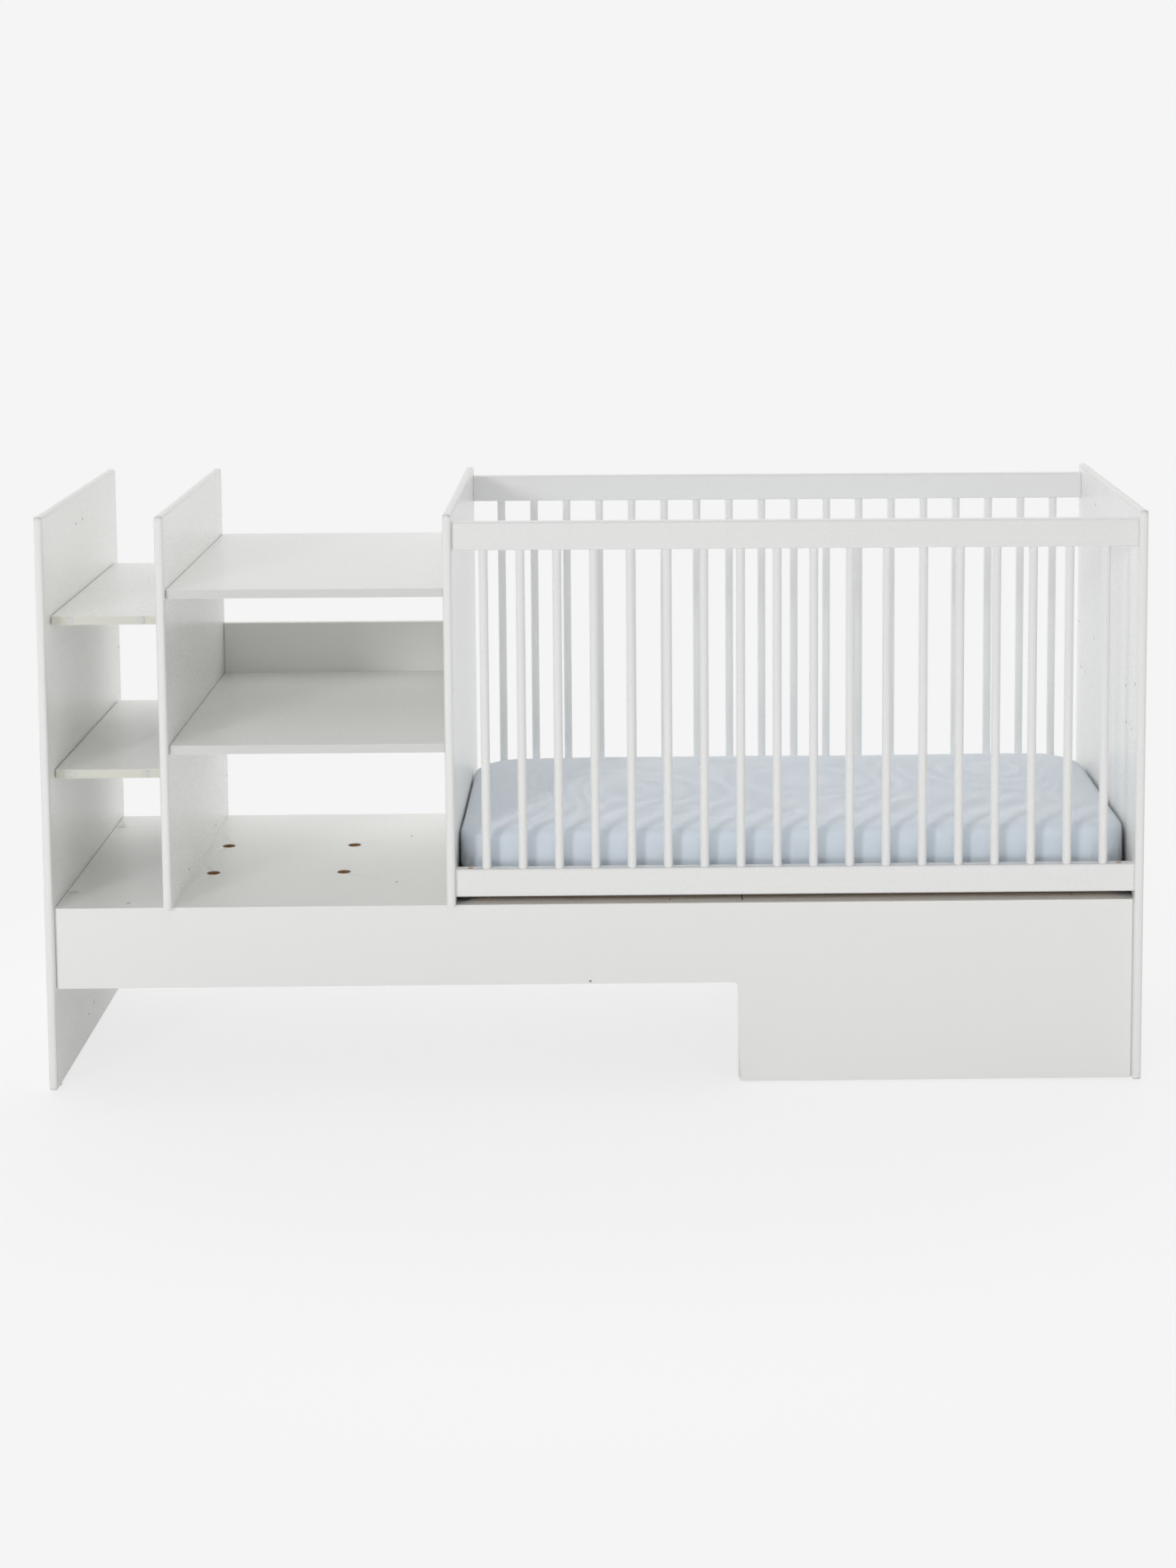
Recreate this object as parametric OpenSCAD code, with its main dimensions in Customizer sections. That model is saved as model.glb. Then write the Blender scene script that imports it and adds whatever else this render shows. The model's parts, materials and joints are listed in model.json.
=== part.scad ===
// Crib with attached changer. Four upright panels stand in a row: a tall end panel, a divider,
// the crib's own left panel and a tall right end panel. Between them are a narrow shelf bay,
// a changer bay and a crib with round bars. A step-shaped plinth board runs under all of it.
// X runs along the length, the front faces -Y, and Z is up from the floor. Millimetres.

/* [Overall] */
// Depth of the upright panels, front to back
depth = 700; // [690:1:740]
// Height of the panels' top edge above the floor
height = 1040; // [1030:1:1080]
// Thickness of the upright panels
panel_t = 16; // [16:0.5:19]
// Radius of the rounded panel edges
panel_edge_r = 6.5; // [3:0.5:7]
// Radius of the panel corners, seen from the side
panel_corner_r = 10; // [8:1:24]

/* [Bays] */
// Clear width of the narrow shelf bay
shelf_bay_w = 195; // [180:1:260]
// Clear width of the changer bay
changer_bay_w = 489; // [480:1:600]
// Clear length of the crib, between its two end panels
crib_inner_l = 1216; // [1214:1:1226]

/* [Boards] */
// Thickness of the plinth boards, base boards, shelves and changer top
board_t = 16; // [16:0.5:18]
// Top of the base boards above the floor
base_top = 333; // [329:1:335]
// Height of the plinth board where it runs clear of the floor
beam_h = 147; // [130:1:170]
// Length of the front plinth's deep stretch, which reaches down to the floor
deep_l = 711; // [600:1:900]
// How far the plinth boards sit behind the panels' edges, front and rear
plinth_setback = 13; // [8:1:20]
// Radius of the front plinth's bottom corner and of the inner corner of its step
plinth_corner_r = 10; // [6:1:20]
// Top of the changer board
changer_top_z = 907; // [880:1:930]
// Top of the shelf under the changer board
changer_shelf_z = 627; // [600:1:660]
// Height of the low back rail that stands on that shelf
back_rail_h = 101; // [80:1:140]
// How far the changer board and its shelf sit behind the panels' front edges
changer_setback = 14; // [10:1:30]
// Top of the upper small shelf
upper_shelf_z = 855; // [800:1:900]
// Top of the lower small shelf
lower_shelf_z = 577; // [520:1:640]
// Distance from the panels' front edges to the small shelves
small_shelf_front = 50; // [30:1:80]
// Distance from the panels' rear edges to the small shelves
small_shelf_rear = 40; // [20:1:80]
// Gap between a small shelf and the panel at each end
small_shelf_gap = 1.5; // [0.5:0.5:2]

/* [Crib sides] */
// Height of the four rails
rail_h = 50; // [48:1:54]
// Thickness of the rails
rail_t = 25; // [24:0.5:28]
// How far the rails sit behind the panels' edges
rail_setback = 11; // [5:1:12]
// Radius of the rails' long edges
rail_edge_r = 4; // [2:0.5:6]
// Top of the upper rails above the floor
top_rail_z = 1024; // [1018:1:1028]
// Top of the lower rails above the floor
low_rail_z = 398; // [396:1:405]
// Diameter of the round bars
bar_d = 16; // [14:0.5:18]
// Number of bars in each side
bar_count = 18; // [16:1:18]
// Distance from an end panel to the centre of the nearest bar
bar_end_gap = 55; // [50:0.5:60]

/* [Bed base and mattress] */
// Underside of the slatted base, where it lies on its brackets
base_low_z = 341; // [340:0.5:342]
// Height of the base's wooden frame
base_frame_h = 22; // [20:1:24]
// Width of the members of that frame, seen from above
base_frame_w = 30; // [25:1:35]
// Width of a slat
slat_w = 52; // [45:1:60]
// Thickness of a slat
slat_t = 10; // [8:1:12]
// Number of slats
slat_count = 13; // [12:1:14]
// Length of the mattress
mattress_l = 1196; // [1180:1:1198]
// Width of the mattress
mattress_w = 596; // [580:1:600]
// Thickness of the mattress
mattress_t = 94; // [80:1:120]
// Radius of the mattress corners, seen from above
mattress_corner_r = 70; // [40:1:90]
// Radius of the mattress's long edges
mattress_edge_r = 22; // [12:1:30]
// Thickness of the fitted sheet
sheet_t = 1.5; // [1:0.5:2]

/* [Fasteners] */
// Diameter of the connecting bolts
bolt_d = 6; // [5:0.5:6]
// Diameter of the cross dowels that the bolts screw into
barrel_d = 10; // [9:0.5:10]
// Diameter of the wooden dowels
dowel_d = 8; // [6:1:8]
// Length of the wooden dowels
dowel_l = 30; // [28:1:34]
// Diameter of the round connector housings let into the boards
connector_d = 20; // [16:1:20]
// Diameter of the pre-drilled fixing holes
fixing_hole_d = 5; // [4:0.5:6]
// Diameter of the four large sockets in the changer bay's base
socket_d = 25; // [20:1:30]

/* [Hidden] */
$fn = 48;
over = 1;              // how far a cutter runs past the face that it opens
fit_gap = 0.05;        // clearance round glued and pushed-in pieces
glide_h = 1;           // thickness of the nail-on floor glides
plinth_clear = 3;      // gap between the plinth's deep stretch and the floor
glide_d = 14;
nail_d = 2.5;
nail_l = 12;
cap_t = 1.2;           // how far a bolt's cover cap stands proud
cap_d = 16;
head_d = 12.5;
head_t = 4;
head_sink = 5;         // depth of the sinking for a bolt head and its cap's plug
bolt_reach = 34;       // how far a bolt reaches past the panel
bolt_hole_d = bolt_d + 0.5;   // in a panel
bolt_bore_d = bolt_d + 1;     // in a board's or a rail's end
bolt_bore_l = bolt_reach + 2;
barrel_from_end = 26;  // distance from a board's end to its cross dowels
barrel_level = 14;     // distance from a rail's drilled face to its bolts
barrel_l = 14;
plinth_barrel_l = 12;  // the plinth boards' cross dowels are shorter, to stay inside the board
plinth_skin = 2;       // board left between such a cross dowel's bore and the outer face
dowel_level = 36;      // distance from a rail's drilled face to its wooden dowels
dowel_in_panel = 10;
bar_tenon = 14;        // how far a bar runs into each rail
screw_d = 7;           // screws that hold the divider and the crib panel on the base
screw_l = 50;
screw_head_d = 10;
screw_head_t = 2;
connector_in = 12.5;   // distance from a board's end to a connector's centre
connector_h = 12.5;
slot_l = 10;           // screwdriver slot in a connector's face
slot_w = 2;
slot_deep = 1.5;
pin_d = 5;            // shelf pins, connector bolts and bracket screws
pin_hole_d = pin_d + 2 * fit_gap;
pin_bore_d = pin_d + 1; // in a board's end, for a connector bolt
pin_in = 9;
pin_out = 8;
pin_from_edge = 37;
plug_d = 12.5;         // round plugs in the small shelves' front edges
plug_in = 8;
plug_proud = 0.8;
plug_from_end = 34;

// Places along the length. Each name is the face that its comment says.
span = 4 * panel_t + shelf_bay_w + changer_bay_w + crib_inner_l;
left_x = -span / 2;                      // outer face of the left end panel
shelf_bay_x = left_x + panel_t;          // its inner face
divider_x = shelf_bay_x + shelf_bay_w;   // left face of the divider
changer_x = divider_x + panel_t;         // right face of the divider
crib_panel_x = changer_x + changer_bay_w; // left face of the crib's left panel
crib_x = crib_panel_x + panel_t;         // its right face, inside the crib
right_x = crib_x + crib_inner_l;         // inner face of the right end panel
deep_x = right_x - deep_l;               // left edge of the front plinth's deep stretch
crib_mid_x = (crib_x + right_x) / 2;

front_y = -depth / 2;
rear_y = depth / 2;
board_front_y = front_y + plinth_setback + board_t; // base boards lie between the plinths
board_rear_y = rear_y - plinth_setback - board_t;
plinth_mid_y = depth / 2 - plinth_setback - board_t / 2;
rail_mid_y = depth / 2 - rail_setback - rail_t / 2;
beam_low_z = base_top - beam_h;
board_mid_z = base_top - board_t / 2;
upright_h = height - base_top;

bar_pitch = (crib_inner_l - 2 * bar_end_gap) / (bar_count - 1);
bar_low_z = low_rail_z - bar_tenon;
bar_top_z = top_rail_z - rail_h + bar_tenon;

// The slatted base and the mattress, inside the crib
base_clear_y = 5;
base_clear_x = 5;
base_l = crib_inner_l - 2 * base_clear_x;
base_w = depth - 2 * (rail_setback + rail_t + base_clear_y);
base_high_z = base_low_z + base_frame_h;
slat_tongue = 12;
slat_gap = (base_l - 2 * base_frame_w - slat_count * slat_w) / (slat_count + 1);
bracket_t = 2.5;
bracket_w = 25;        // ledge, measured from the panel
bracket_l = 100;       // along the panel
bracket_up = 26;
bracket_front = rail_setback + rail_t + 2; // from the panel's edge to the bracket
bracket_nose_front = 20;  // from the panel's edge to its narrow nose under the rail
bracket_nose_w = 3;
bracket_screw_in = [20, 77]; // screws, measured from the bracket's outer end
bracket_screw_up = 16; // screws above the base's underside
bracket_head_t = 1.5;
bracket_head_d = 9;
sheet_hem_w = 90;      // how far the sheet turns in under the mattress
soft_gap = 0.3;        // clearance between the sheet and the slats under it
mattress_low_z = base_high_z + soft_gap + sheet_t;

// Fastener levels and places
beam_bolt_z = [base_top - 107, base_top - 40];       // plinth ends as high as the beam
beam_dowel_z = [base_top - 73];
deep_bolt_z = [60, 180, base_top - 40];              // the front plinth's deep right end
deep_dowel_z = [120, base_top - 94];
board_connector_y = [front_y + 120, rear_y - 103];  // base board to the end panels
shelf_connector_y = [front_y + 90, rear_y - 90];    // changer board and shelf
back_rail_dowel_z = [25, back_rail_h - 25];          // above the changer shelf
upright_screw_y = [front_y + 100, 0, rear_y - 100];
joint_dowel_y = [front_y + 100, 0, rear_y - 100];
cross_rail_dowel_z = [beam_low_z + 30, base_top - board_t - 30];
board_joint_x = deep_x + board_t / 2;                // seam over the cross rail's middle
changer_base_l = board_joint_x - shelf_bay_x;
crib_base_l = right_x - board_joint_x;
edge_dowel_in = 11;                                  // depth of an edge dowel in the plinth
edge_dowel_x = concat(
    [for (i = [0 : 5]) shelf_bay_x + changer_base_l * (i + 0.5) / 6],
    [for (i = [0 : 3]) board_joint_x + crib_base_l * (i + 0.5) / 4]);
glide_from_edge = 40;

// Pre-drilled holes. Each pair is [distance from the front edge, height above the floor].
left_panel_holes = [[294, 986], [358, 986], [685, 681], [342, 57], [290, 50]];
divider_holes = [[196, 354], [526, 354], [683, 417]];
crib_end_holes = [[28, 722], [672, 722]];
right_panel_holes = [[484, 984], [484, 722], [126, 700]];
upper_base_z = 635;    // second height of the slatted base's bracket screws
fixing_hole_depth = 10;
// Holes in the base boards: [distance from the left end panel's outer face, distance from the
// front edge]
socket_places = [[264.5, 245.5], [507.5, 245.5], [264.5, 442.5], [507.5, 442.5]];
socket_depth = 12.5;
base_pilot_places = [[612.5, 509], [612.5, 172], [142, 44], [1115, 39]];
crib_pilot_places = [[1841, 49]];
plinth_pilot = [971, 191]; // [distance from the left, height above the floor]

white = [0.95, 0.95, 0.94];
cream = [0.90, 0.89, 0.84];
pine = [0.85, 0.72, 0.53];
steel = [0.70, 0.71, 0.72];
black_plastic = [0.10, 0.10, 0.11];
sheet_blue = [0.74, 0.81, 0.87];
foam_white = [0.93, 0.93, 0.90];

function two(n) = n < 10 ? str("0", n) : str(n);
function bar_x(i) = crib_x + bar_end_gap + bar_pitch * (i - 1);
FRONT_BARS = [for (i = [1 : bar_count]) str("front_bar_", two(i))];

// ---- Shapes that repeat ----

// Rectangle with its top corners rounded, and its bottom ones too when round_low is true
module soft_rect(w, h, r, round_low = true) {
    translate([r, 0]) square([w - 2 * r, h]);
    translate([0, round_low ? r : 0]) square([w, h - r - (round_low ? r : 0)]);
    for (x = [r, w - r], z = round_low ? [r, h - r] : [h - r])
        translate([x, z]) circle(r);
}

// Cylinders along each axis, from one coordinate to another
module along_x(x0, x1, y, z, d)
    translate([x0, y, z]) rotate([0, 90, 0]) cylinder(h = x1 - x0, d = d);
module along_y(x, y0, y1, z, d)
    translate([x, y1, z]) rotate([90, 0, 0]) cylinder(h = y1 - y0, d = d);
module along_z(x, y, z0, z1, d)
    translate([x, y, z0]) cylinder(h = z1 - z0, d = d);

// Upright panel with every free edge rounded; x is its left face
module upright(x, z0, h, round_low) {
    intersection() {
        translate([x, front_y, z0]) rotate([90, 0, 90])
            linear_extrude(panel_t) soft_rect(depth, h, panel_corner_r, round_low);
        translate([x, front_y, z0])
            linear_extrude(h) soft_rect(panel_t, depth, panel_edge_r);
        translate([x, rear_y, z0]) rotate([90, 0, 0])
            linear_extrude(depth) soft_rect(panel_t, h, panel_edge_r, round_low);
    }
}

// Mirrors its children to the rear as well
module front_and_rear() {
    children();
    mirror([0, 1, 0]) children();
}

// Hole for one bolt through a panel, with the sinking for its head; outer is -1 or 1 for the
// side that the head is on
module bolt_hole(panel_x, y, z, outer) {
    along_x(panel_x - over, panel_x + panel_t + over, y, z, bolt_hole_d);
    sink_x = outer < 0 ? panel_x - over : panel_x + panel_t - head_sink;
    along_x(sink_x, sink_x + head_sink + over, y, z, head_d + 2 * fit_gap);
}

module fixing_hole_right(face_x, place)
    along_x(face_x - fixing_hole_depth, face_x + over, front_y + place[0], place[1],
        fixing_hole_d);
module fixing_hole_left(face_x, place)
    along_x(face_x - over, face_x + fixing_hole_depth, front_y + place[0], place[1],
        fixing_hole_d);

// Bolt levels of the crib's rails: in the lower rails the drilled face is the top one, in the
// upper rails it is the underside
rail_bolt_z = [low_rail_z - barrel_level, top_rail_z - rail_h + barrel_level];
rail_dowel_z = [low_rail_z - dowel_level, top_rail_z - rail_h + dowel_level];

// Screw places of one bed base bracket, from the front edge
bracket_screw_y = [for (s = bracket_screw_in) bracket_front + s];
bracket_screw_z = base_low_z + bracket_screw_up;

// ---- Upright panels ----

module left_end_panel() {
    color(white) difference() {
        upright(left_x, glide_h, height - glide_h, true);
        front_and_rear() {
            for (z = beam_bolt_z) bolt_hole(left_x, plinth_mid_y, z, -1);
            for (z = beam_dowel_z) panel_dowel_hole(shelf_bay_x - dowel_in_panel, z);
            glide_nail_hole(left_x + panel_t / 2, rear_y - glide_from_edge);
        }
        for (p = left_panel_holes) fixing_hole_right(shelf_bay_x, p);
        for (y = board_connector_y)
            along_x(shelf_bay_x - dowel_in_panel, shelf_bay_x + over, y, board_mid_z, pin_hole_d);
        shelf_pin_holes(shelf_bay_x - pin_in, shelf_bay_x + over);
    }
}

module divider_panel() {
    color(white) difference() {
        upright(divider_x, base_top, upright_h, false);
        for (p = divider_holes) fixing_hole_right(changer_x, p);
        changer_holes(changer_x - dowel_in_panel, changer_x + over);
        shelf_pin_holes(divider_x - over, divider_x + pin_in);
        upright_screw_holes(divider_x);
    }
}

module crib_left_panel() {
    color(white) difference() {
        upright(crib_panel_x, base_top, upright_h, false);
        crib_end_holes_at(crib_panel_x, -1);
        for (p = crib_end_holes) fixing_hole_right(crib_x, p);
        bracket_holes(crib_x - fixing_hole_depth, crib_x + over);
        changer_holes(crib_panel_x - over, crib_panel_x + dowel_in_panel);
        upright_screw_holes(crib_panel_x);
    }
}

module right_end_panel() {
    color(white) difference() {
        upright(right_x, glide_h, height - glide_h, true);
        crib_end_holes_at(right_x, 1);
        for (z = beam_bolt_z) bolt_hole(right_x, plinth_mid_y, z, 1);
        for (z = beam_dowel_z) panel_dowel_hole(right_x - over, z);
        mirror([0, 1, 0]) {
            for (z = deep_bolt_z) bolt_hole(right_x, plinth_mid_y, z, 1);
            for (z = deep_dowel_z) panel_dowel_hole(right_x - over, z);
        }
        front_and_rear() glide_nail_hole(right_x + panel_t / 2, rear_y - glide_from_edge);
        for (p = concat(crib_end_holes, right_panel_holes)) fixing_hole_left(right_x, p);
        bracket_holes(right_x - over, right_x + fixing_hole_depth);
        for (y = board_connector_y)
            along_x(right_x - over, right_x + dowel_in_panel, y, board_mid_z, pin_hole_d);
    }
}

// Hole in an end panel for one plinth dowel
module panel_dowel_hole(x0, z)
    along_x(x0, x0 + dowel_in_panel + over, plinth_mid_y, z, dowel_d + 2 * fit_gap);

// Holes in a crib end panel for the rails' bolts and dowels
module crib_end_holes_at(panel_x, outer) {
    dowel_x = outer < 0 ? panel_x + panel_t - dowel_in_panel : panel_x - over;
    front_and_rear() {
        for (z = rail_bolt_z) bolt_hole(panel_x, rail_mid_y, z, outer);
        for (z = rail_dowel_z)
            along_x(dowel_x, dowel_x + dowel_in_panel + over, rail_mid_y, z,
                dowel_d + 2 * fit_gap);
    }
}

// Bracket screw holes at the low height and at the upper one
module bracket_holes(x0, x1)
    front_and_rear() for (s = bracket_screw_y, z = [bracket_screw_z, upper_base_z])
        along_x(x0, x1, rear_y - s, z, pin_hole_d);

// Holes for the changer board, its shelf and the back rail
module changer_holes(x0, x1) {
    for (z = [changer_top_z, changer_shelf_z], y = shelf_connector_y)
        along_x(x0, x1, y, z - board_t / 2, pin_hole_d);
    for (z = back_rail_dowel_z)
        along_x(x0, x1, rear_y - board_t / 2, changer_shelf_z + z, dowel_d + 2 * fit_gap);
}

module shelf_pin_holes(x0, x1) {
    for (z = [upper_shelf_z, lower_shelf_z], y = shelf_pin_y)
        along_x(x0, x1, y, z - board_t - pin_d / 2, pin_hole_d);
}

module upright_screw_holes(panel_x)
    for (y = upright_screw_y)
        along_z(panel_x + panel_t / 2, y, base_top - over, base_top + screw_l - board_t + over,
            screw_d + 2 * fit_gap);

module glide_nail_hole(x, y)
    along_z(x, y, glide_h - over, glide_h + nail_l + over, nail_d + 2 * fit_gap);

// ---- Plinth and base boards ----

// Outline of the front plinth: a beam on the left, deep on the right
module front_plinth_outline() {
    beam_l = deep_x - shelf_bay_x;
    deep_h = base_top - plinth_clear;
    low = beam_low_z - plinth_clear;
    r = plinth_corner_r;
    translate([0, low]) square([beam_l + deep_l, beam_h]);
    translate([beam_l + r, 0]) square([deep_l - r, deep_h]);
    translate([beam_l, r]) square([deep_l, deep_h - r]);
    translate([beam_l + r, r]) circle(r);
    // fillet in the inner corner of the step
    difference() {
        translate([beam_l - r, low - r]) square([r + over, r + over]);
        translate([beam_l - r, low - r]) circle(r);
    }
}

// Bores of a rear plinth board that aren't at its right end: bolts and cross dowels on the
// left, and dowels for the base boards and the cross rail
module plinth_bores() {
    for (z = beam_bolt_z) plinth_bolt_bore(shelf_bay_x, z, 1);
    for (z = beam_dowel_z)
        along_x(shelf_bay_x - over, shelf_bay_x + dowel_l - dowel_in_panel, plinth_mid_y, z,
            dowel_d + 2 * fit_gap);
    for (x = edge_dowel_x)
        along_y(x, board_rear_y - over, board_rear_y + edge_dowel_in, board_mid_z,
            dowel_d + 2 * fit_gap);
    for (z = cross_rail_dowel_z)
        along_y(board_joint_x, board_rear_y - over, board_rear_y + edge_dowel_in, z,
            dowel_d + 2 * fit_gap);
}

// A plinth board's bores at its right end
module plinth_right_bores(bolt_z, dowel_z) {
    for (z = bolt_z) plinth_bolt_bore(right_x, z, -1);
    for (z = dowel_z)
        along_x(right_x - dowel_l + dowel_in_panel, right_x + over, plinth_mid_y, z,
            dowel_d + 2 * fit_gap);
}

// One bolt's bore from the board's end and its cross dowel's from the inner face; inward is 1
// where the board runs to the right of its end and -1 to the left
module plinth_bolt_bore(end_x, z, inward) {
    x0 = inward > 0 ? end_x - over : end_x - bolt_bore_l;
    along_x(x0, x0 + bolt_bore_l + over, plinth_mid_y, z, bolt_bore_d);
    along_y(end_x + inward * barrel_from_end, board_rear_y - over,
        board_rear_y + board_t - plinth_skin, z, barrel_d + 2 * fit_gap);
}

module front_plinth() {
    color(white) difference() {
        translate([shelf_bay_x, -board_rear_y, plinth_clear]) rotate([90, 0, 0])
            linear_extrude(board_t) front_plinth_outline();
        mirror([0, 1, 0]) {
            plinth_bores();
            plinth_right_bores(deep_bolt_z, deep_dowel_z);
        }
        along_y(left_x + plinth_pilot[0], -plinth_mid_y - board_t, -plinth_mid_y,
            plinth_pilot[1], fixing_hole_d);
    }
}

module rear_plinth() {
    color(white) difference() {
        translate([shelf_bay_x, board_rear_y, beam_low_z])
            cube([right_x - shelf_bay_x, board_t, beam_h]);
        plinth_bores();
        plinth_right_bores(beam_bolt_z, beam_dowel_z);
    }
}

// Board on edge between the two plinths, under the joint of the base boards
module base_cross_rail() {
    color(white) difference() {
        translate([deep_x, board_front_y, beam_low_z])
            cube([board_t, board_rear_y - board_front_y, beam_h - board_t]);
        front_and_rear() for (z = cross_rail_dowel_z)
            along_y(board_joint_x, board_rear_y - dowel_l + edge_dowel_in,
                board_rear_y + over, z, dowel_d + 2 * fit_gap);
    }
}

// A base board from x0 to x1, drilled for its dowels along both long edges
module base_board(x0, x1) {
    difference() {
        translate([x0, board_front_y, base_top - board_t])
            cube([x1 - x0, board_rear_y - board_front_y, board_t]);
        for (x = edge_dowel_x) if (x > x0 && x < x1)
            front_and_rear() along_y(x, board_rear_y - dowel_l + edge_dowel_in,
                board_rear_y + over, board_mid_z, dowel_d + 2 * fit_gap);
        for (y = joint_dowel_y)
            along_x(board_joint_x - dowel_l / 2, board_joint_x + dowel_l / 2, y, board_mid_z,
                dowel_d + 2 * fit_gap);
    }
}

module pilot_hole(place)
    along_z(left_x + place[0], front_y + place[1], base_top - fixing_hole_depth,
        base_top + over, fixing_hole_d);

module changer_base_board() {
    color(white) difference() {
        base_board(shelf_bay_x, board_joint_x);
        for (p = socket_places)
            along_z(left_x + p[0], front_y + p[1], base_top - socket_depth, base_top + over,
                socket_d);
        for (p = base_pilot_places) pilot_hole(p);
        for (y = board_connector_y) top_connector_hole(shelf_bay_x, y, 1);
        for (x = [divider_x, crib_panel_x], y = upright_screw_y) {
            along_z(x + panel_t / 2, y, base_top - board_t - over, base_top + over,
                screw_d + 2 * fit_gap);
            along_z(x + panel_t / 2, y, base_top - board_t - over,
                base_top - board_t + screw_head_t, screw_head_d + 2 * fit_gap);
        }
    }
}

module crib_base_board() {
    color(white) difference() {
        base_board(board_joint_x, right_x);
        for (p = crib_pilot_places) pilot_hole(p);
        for (y = board_connector_y) top_connector_hole(right_x, y, -1);
    }
}

// Housing bore in the top face of a base board, and the bolt's way in from the board's end;
// inward is 1 when the board runs to the right of the panel's face and -1 to the left
module top_connector_hole(face_x, y, inward) {
    along_z(face_x + inward * connector_in, y, base_top - connector_h, base_top + over,
        connector_d + 2 * fit_gap);
    x0 = inward > 0 ? face_x - over : face_x - connector_in;
    along_x(x0, x0 + connector_in + over, y, board_mid_z, pin_bore_d);
}

// ---- Shelves and changer ----

shelf_front_y = front_y + small_shelf_front;
shelf_rear_y = rear_y - small_shelf_rear;
shelf_pin_y = [shelf_front_y + pin_from_edge, shelf_rear_y - pin_from_edge];
plug_x = [shelf_bay_x + plug_from_end, divider_x - plug_from_end];

module small_shelf(top_z) {
    color(white) difference() {
        translate([shelf_bay_x + small_shelf_gap, shelf_front_y, top_z - board_t])
            cube([shelf_bay_w - 2 * small_shelf_gap, shelf_rear_y - shelf_front_y, board_t]);
        for (x = plug_x)
            along_y(x, shelf_front_y - over, shelf_front_y + plug_in, top_z - board_t / 2,
                plug_d + 2 * fit_gap);
    }
}

module upper_small_shelf() { small_shelf(upper_shelf_z); }
module lower_small_shelf() { small_shelf(lower_shelf_z); }

// A board across the changer bay, with connector bores in its underside
module changer_board(top_z) {
    color(white) difference() {
        translate([changer_x, front_y + changer_setback, top_z - board_t])
            cube([changer_bay_w, depth - changer_setback, board_t]);
        for (y = shelf_connector_y) {
            for (x = [changer_x + connector_in, crib_panel_x - connector_in])
                along_z(x, y, top_z - board_t - over, top_z - board_t + connector_h,
                    connector_d + 2 * fit_gap);
            along_x(changer_x - over, changer_x + connector_in, y, top_z - board_t / 2,
                pin_bore_d);
            along_x(crib_panel_x - connector_in, crib_panel_x + over, y, top_z - board_t / 2,
                pin_bore_d);
        }
    }
}

module changer_top() { changer_board(changer_top_z); }
module changer_shelf() { changer_board(changer_shelf_z); }

module shelf_back_rail() {
    color(white) difference() {
        translate([changer_x, rear_y - board_t, changer_shelf_z])
            cube([changer_bay_w, board_t, back_rail_h]);
        for (z = back_rail_dowel_z) {
            along_x(changer_x - over, changer_x + dowel_l - dowel_in_panel,
                rear_y - board_t / 2, changer_shelf_z + z, dowel_d + 2 * fit_gap);
            along_x(crib_panel_x - dowel_l + dowel_in_panel, crib_panel_x + over,
                rear_y - board_t / 2, changer_shelf_z + z, dowel_d + 2 * fit_gap);
        }
    }
}

// ---- Crib sides ----

// One rail; drilled_up is 1 when its drilled face is the top one and -1 for the underside
module side_rail(y, low_z, drilled_up) {
    drilled_z = drilled_up > 0 ? low_z + rail_h : low_z;
    color(white) difference() {
        translate([crib_x, y - rail_t / 2, low_z]) rotate([90, 0, 90])
            linear_extrude(crib_inner_l) soft_rect(rail_t, rail_h, rail_edge_r);
        for (i = [1 : bar_count])
            rail_bore(bar_x(i), y, drilled_z, drilled_up, bar_tenon, bar_d);
        for (x = [crib_x + barrel_from_end, right_x - barrel_from_end])
            rail_bore(x, y, drilled_z, drilled_up, barrel_level + barrel_l / 2, barrel_d);
        rail_end_bores(y, drilled_z - drilled_up * barrel_level, bolt_bore_l, bolt_bore_d);
        rail_end_bores(y, drilled_z - drilled_up * dowel_level, dowel_l - dowel_in_panel,
            dowel_d + 2 * fit_gap);
    }
}

// A bore from the drilled face of a rail, straight into it
module rail_bore(x, y, face_z, drilled_up, deep, d) {
    z0 = drilled_up > 0 ? face_z - deep : face_z - over;
    along_z(x, y, z0, z0 + deep + over, d + 2 * fit_gap);
}

// The same bore in both ends of a rail
module rail_end_bores(y, z, deep, d) {
    along_x(crib_x - over, crib_x + deep, y, z, d);
    along_x(right_x - deep, right_x + over, y, z, d);
}

module front_top_rail() { side_rail(-rail_mid_y, top_rail_z - rail_h, -1); }
module front_low_rail() { side_rail(-rail_mid_y, low_rail_z - rail_h, 1); }
module rear_top_rail() { side_rail(rail_mid_y, top_rail_z - rail_h, -1); }
module rear_low_rail() { side_rail(rail_mid_y, low_rail_z - rail_h, 1); }

module bar(i, y)
    color(white) along_z(bar_x(i), y, bar_low_z, bar_top_z, bar_d);

module rear_bars() {
    for (i = [1 : bar_count]) bar(i, rail_mid_y);
}

// ---- Slatted base ----

base_x0 = crib_mid_x - base_l / 2;
base_x1 = crib_mid_x + base_l / 2;
function slat_x(i) = base_x0 + base_frame_w + slat_gap + (slat_w + slat_gap) * (i - 1);

// Long member at the rear, with a mortise for every slat; the front one is its mirror image
module base_long_member() {
    color(pine) difference() {
        translate([base_x0, base_w / 2 - base_frame_w, base_low_z])
            cube([base_l, base_frame_w, base_frame_h]);
        for (i = [1 : slat_count])
            translate([slat_x(i) - fit_gap, base_w / 2 - base_frame_w - over,
                    base_high_z - slat_t - fit_gap])
                cube([slat_w + 2 * fit_gap, slat_tongue + over, slat_t + fit_gap + over]);
    }
}

module base_front_member() { mirror([0, 1, 0]) base_long_member(); }
module base_rear_member() { base_long_member(); }

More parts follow.
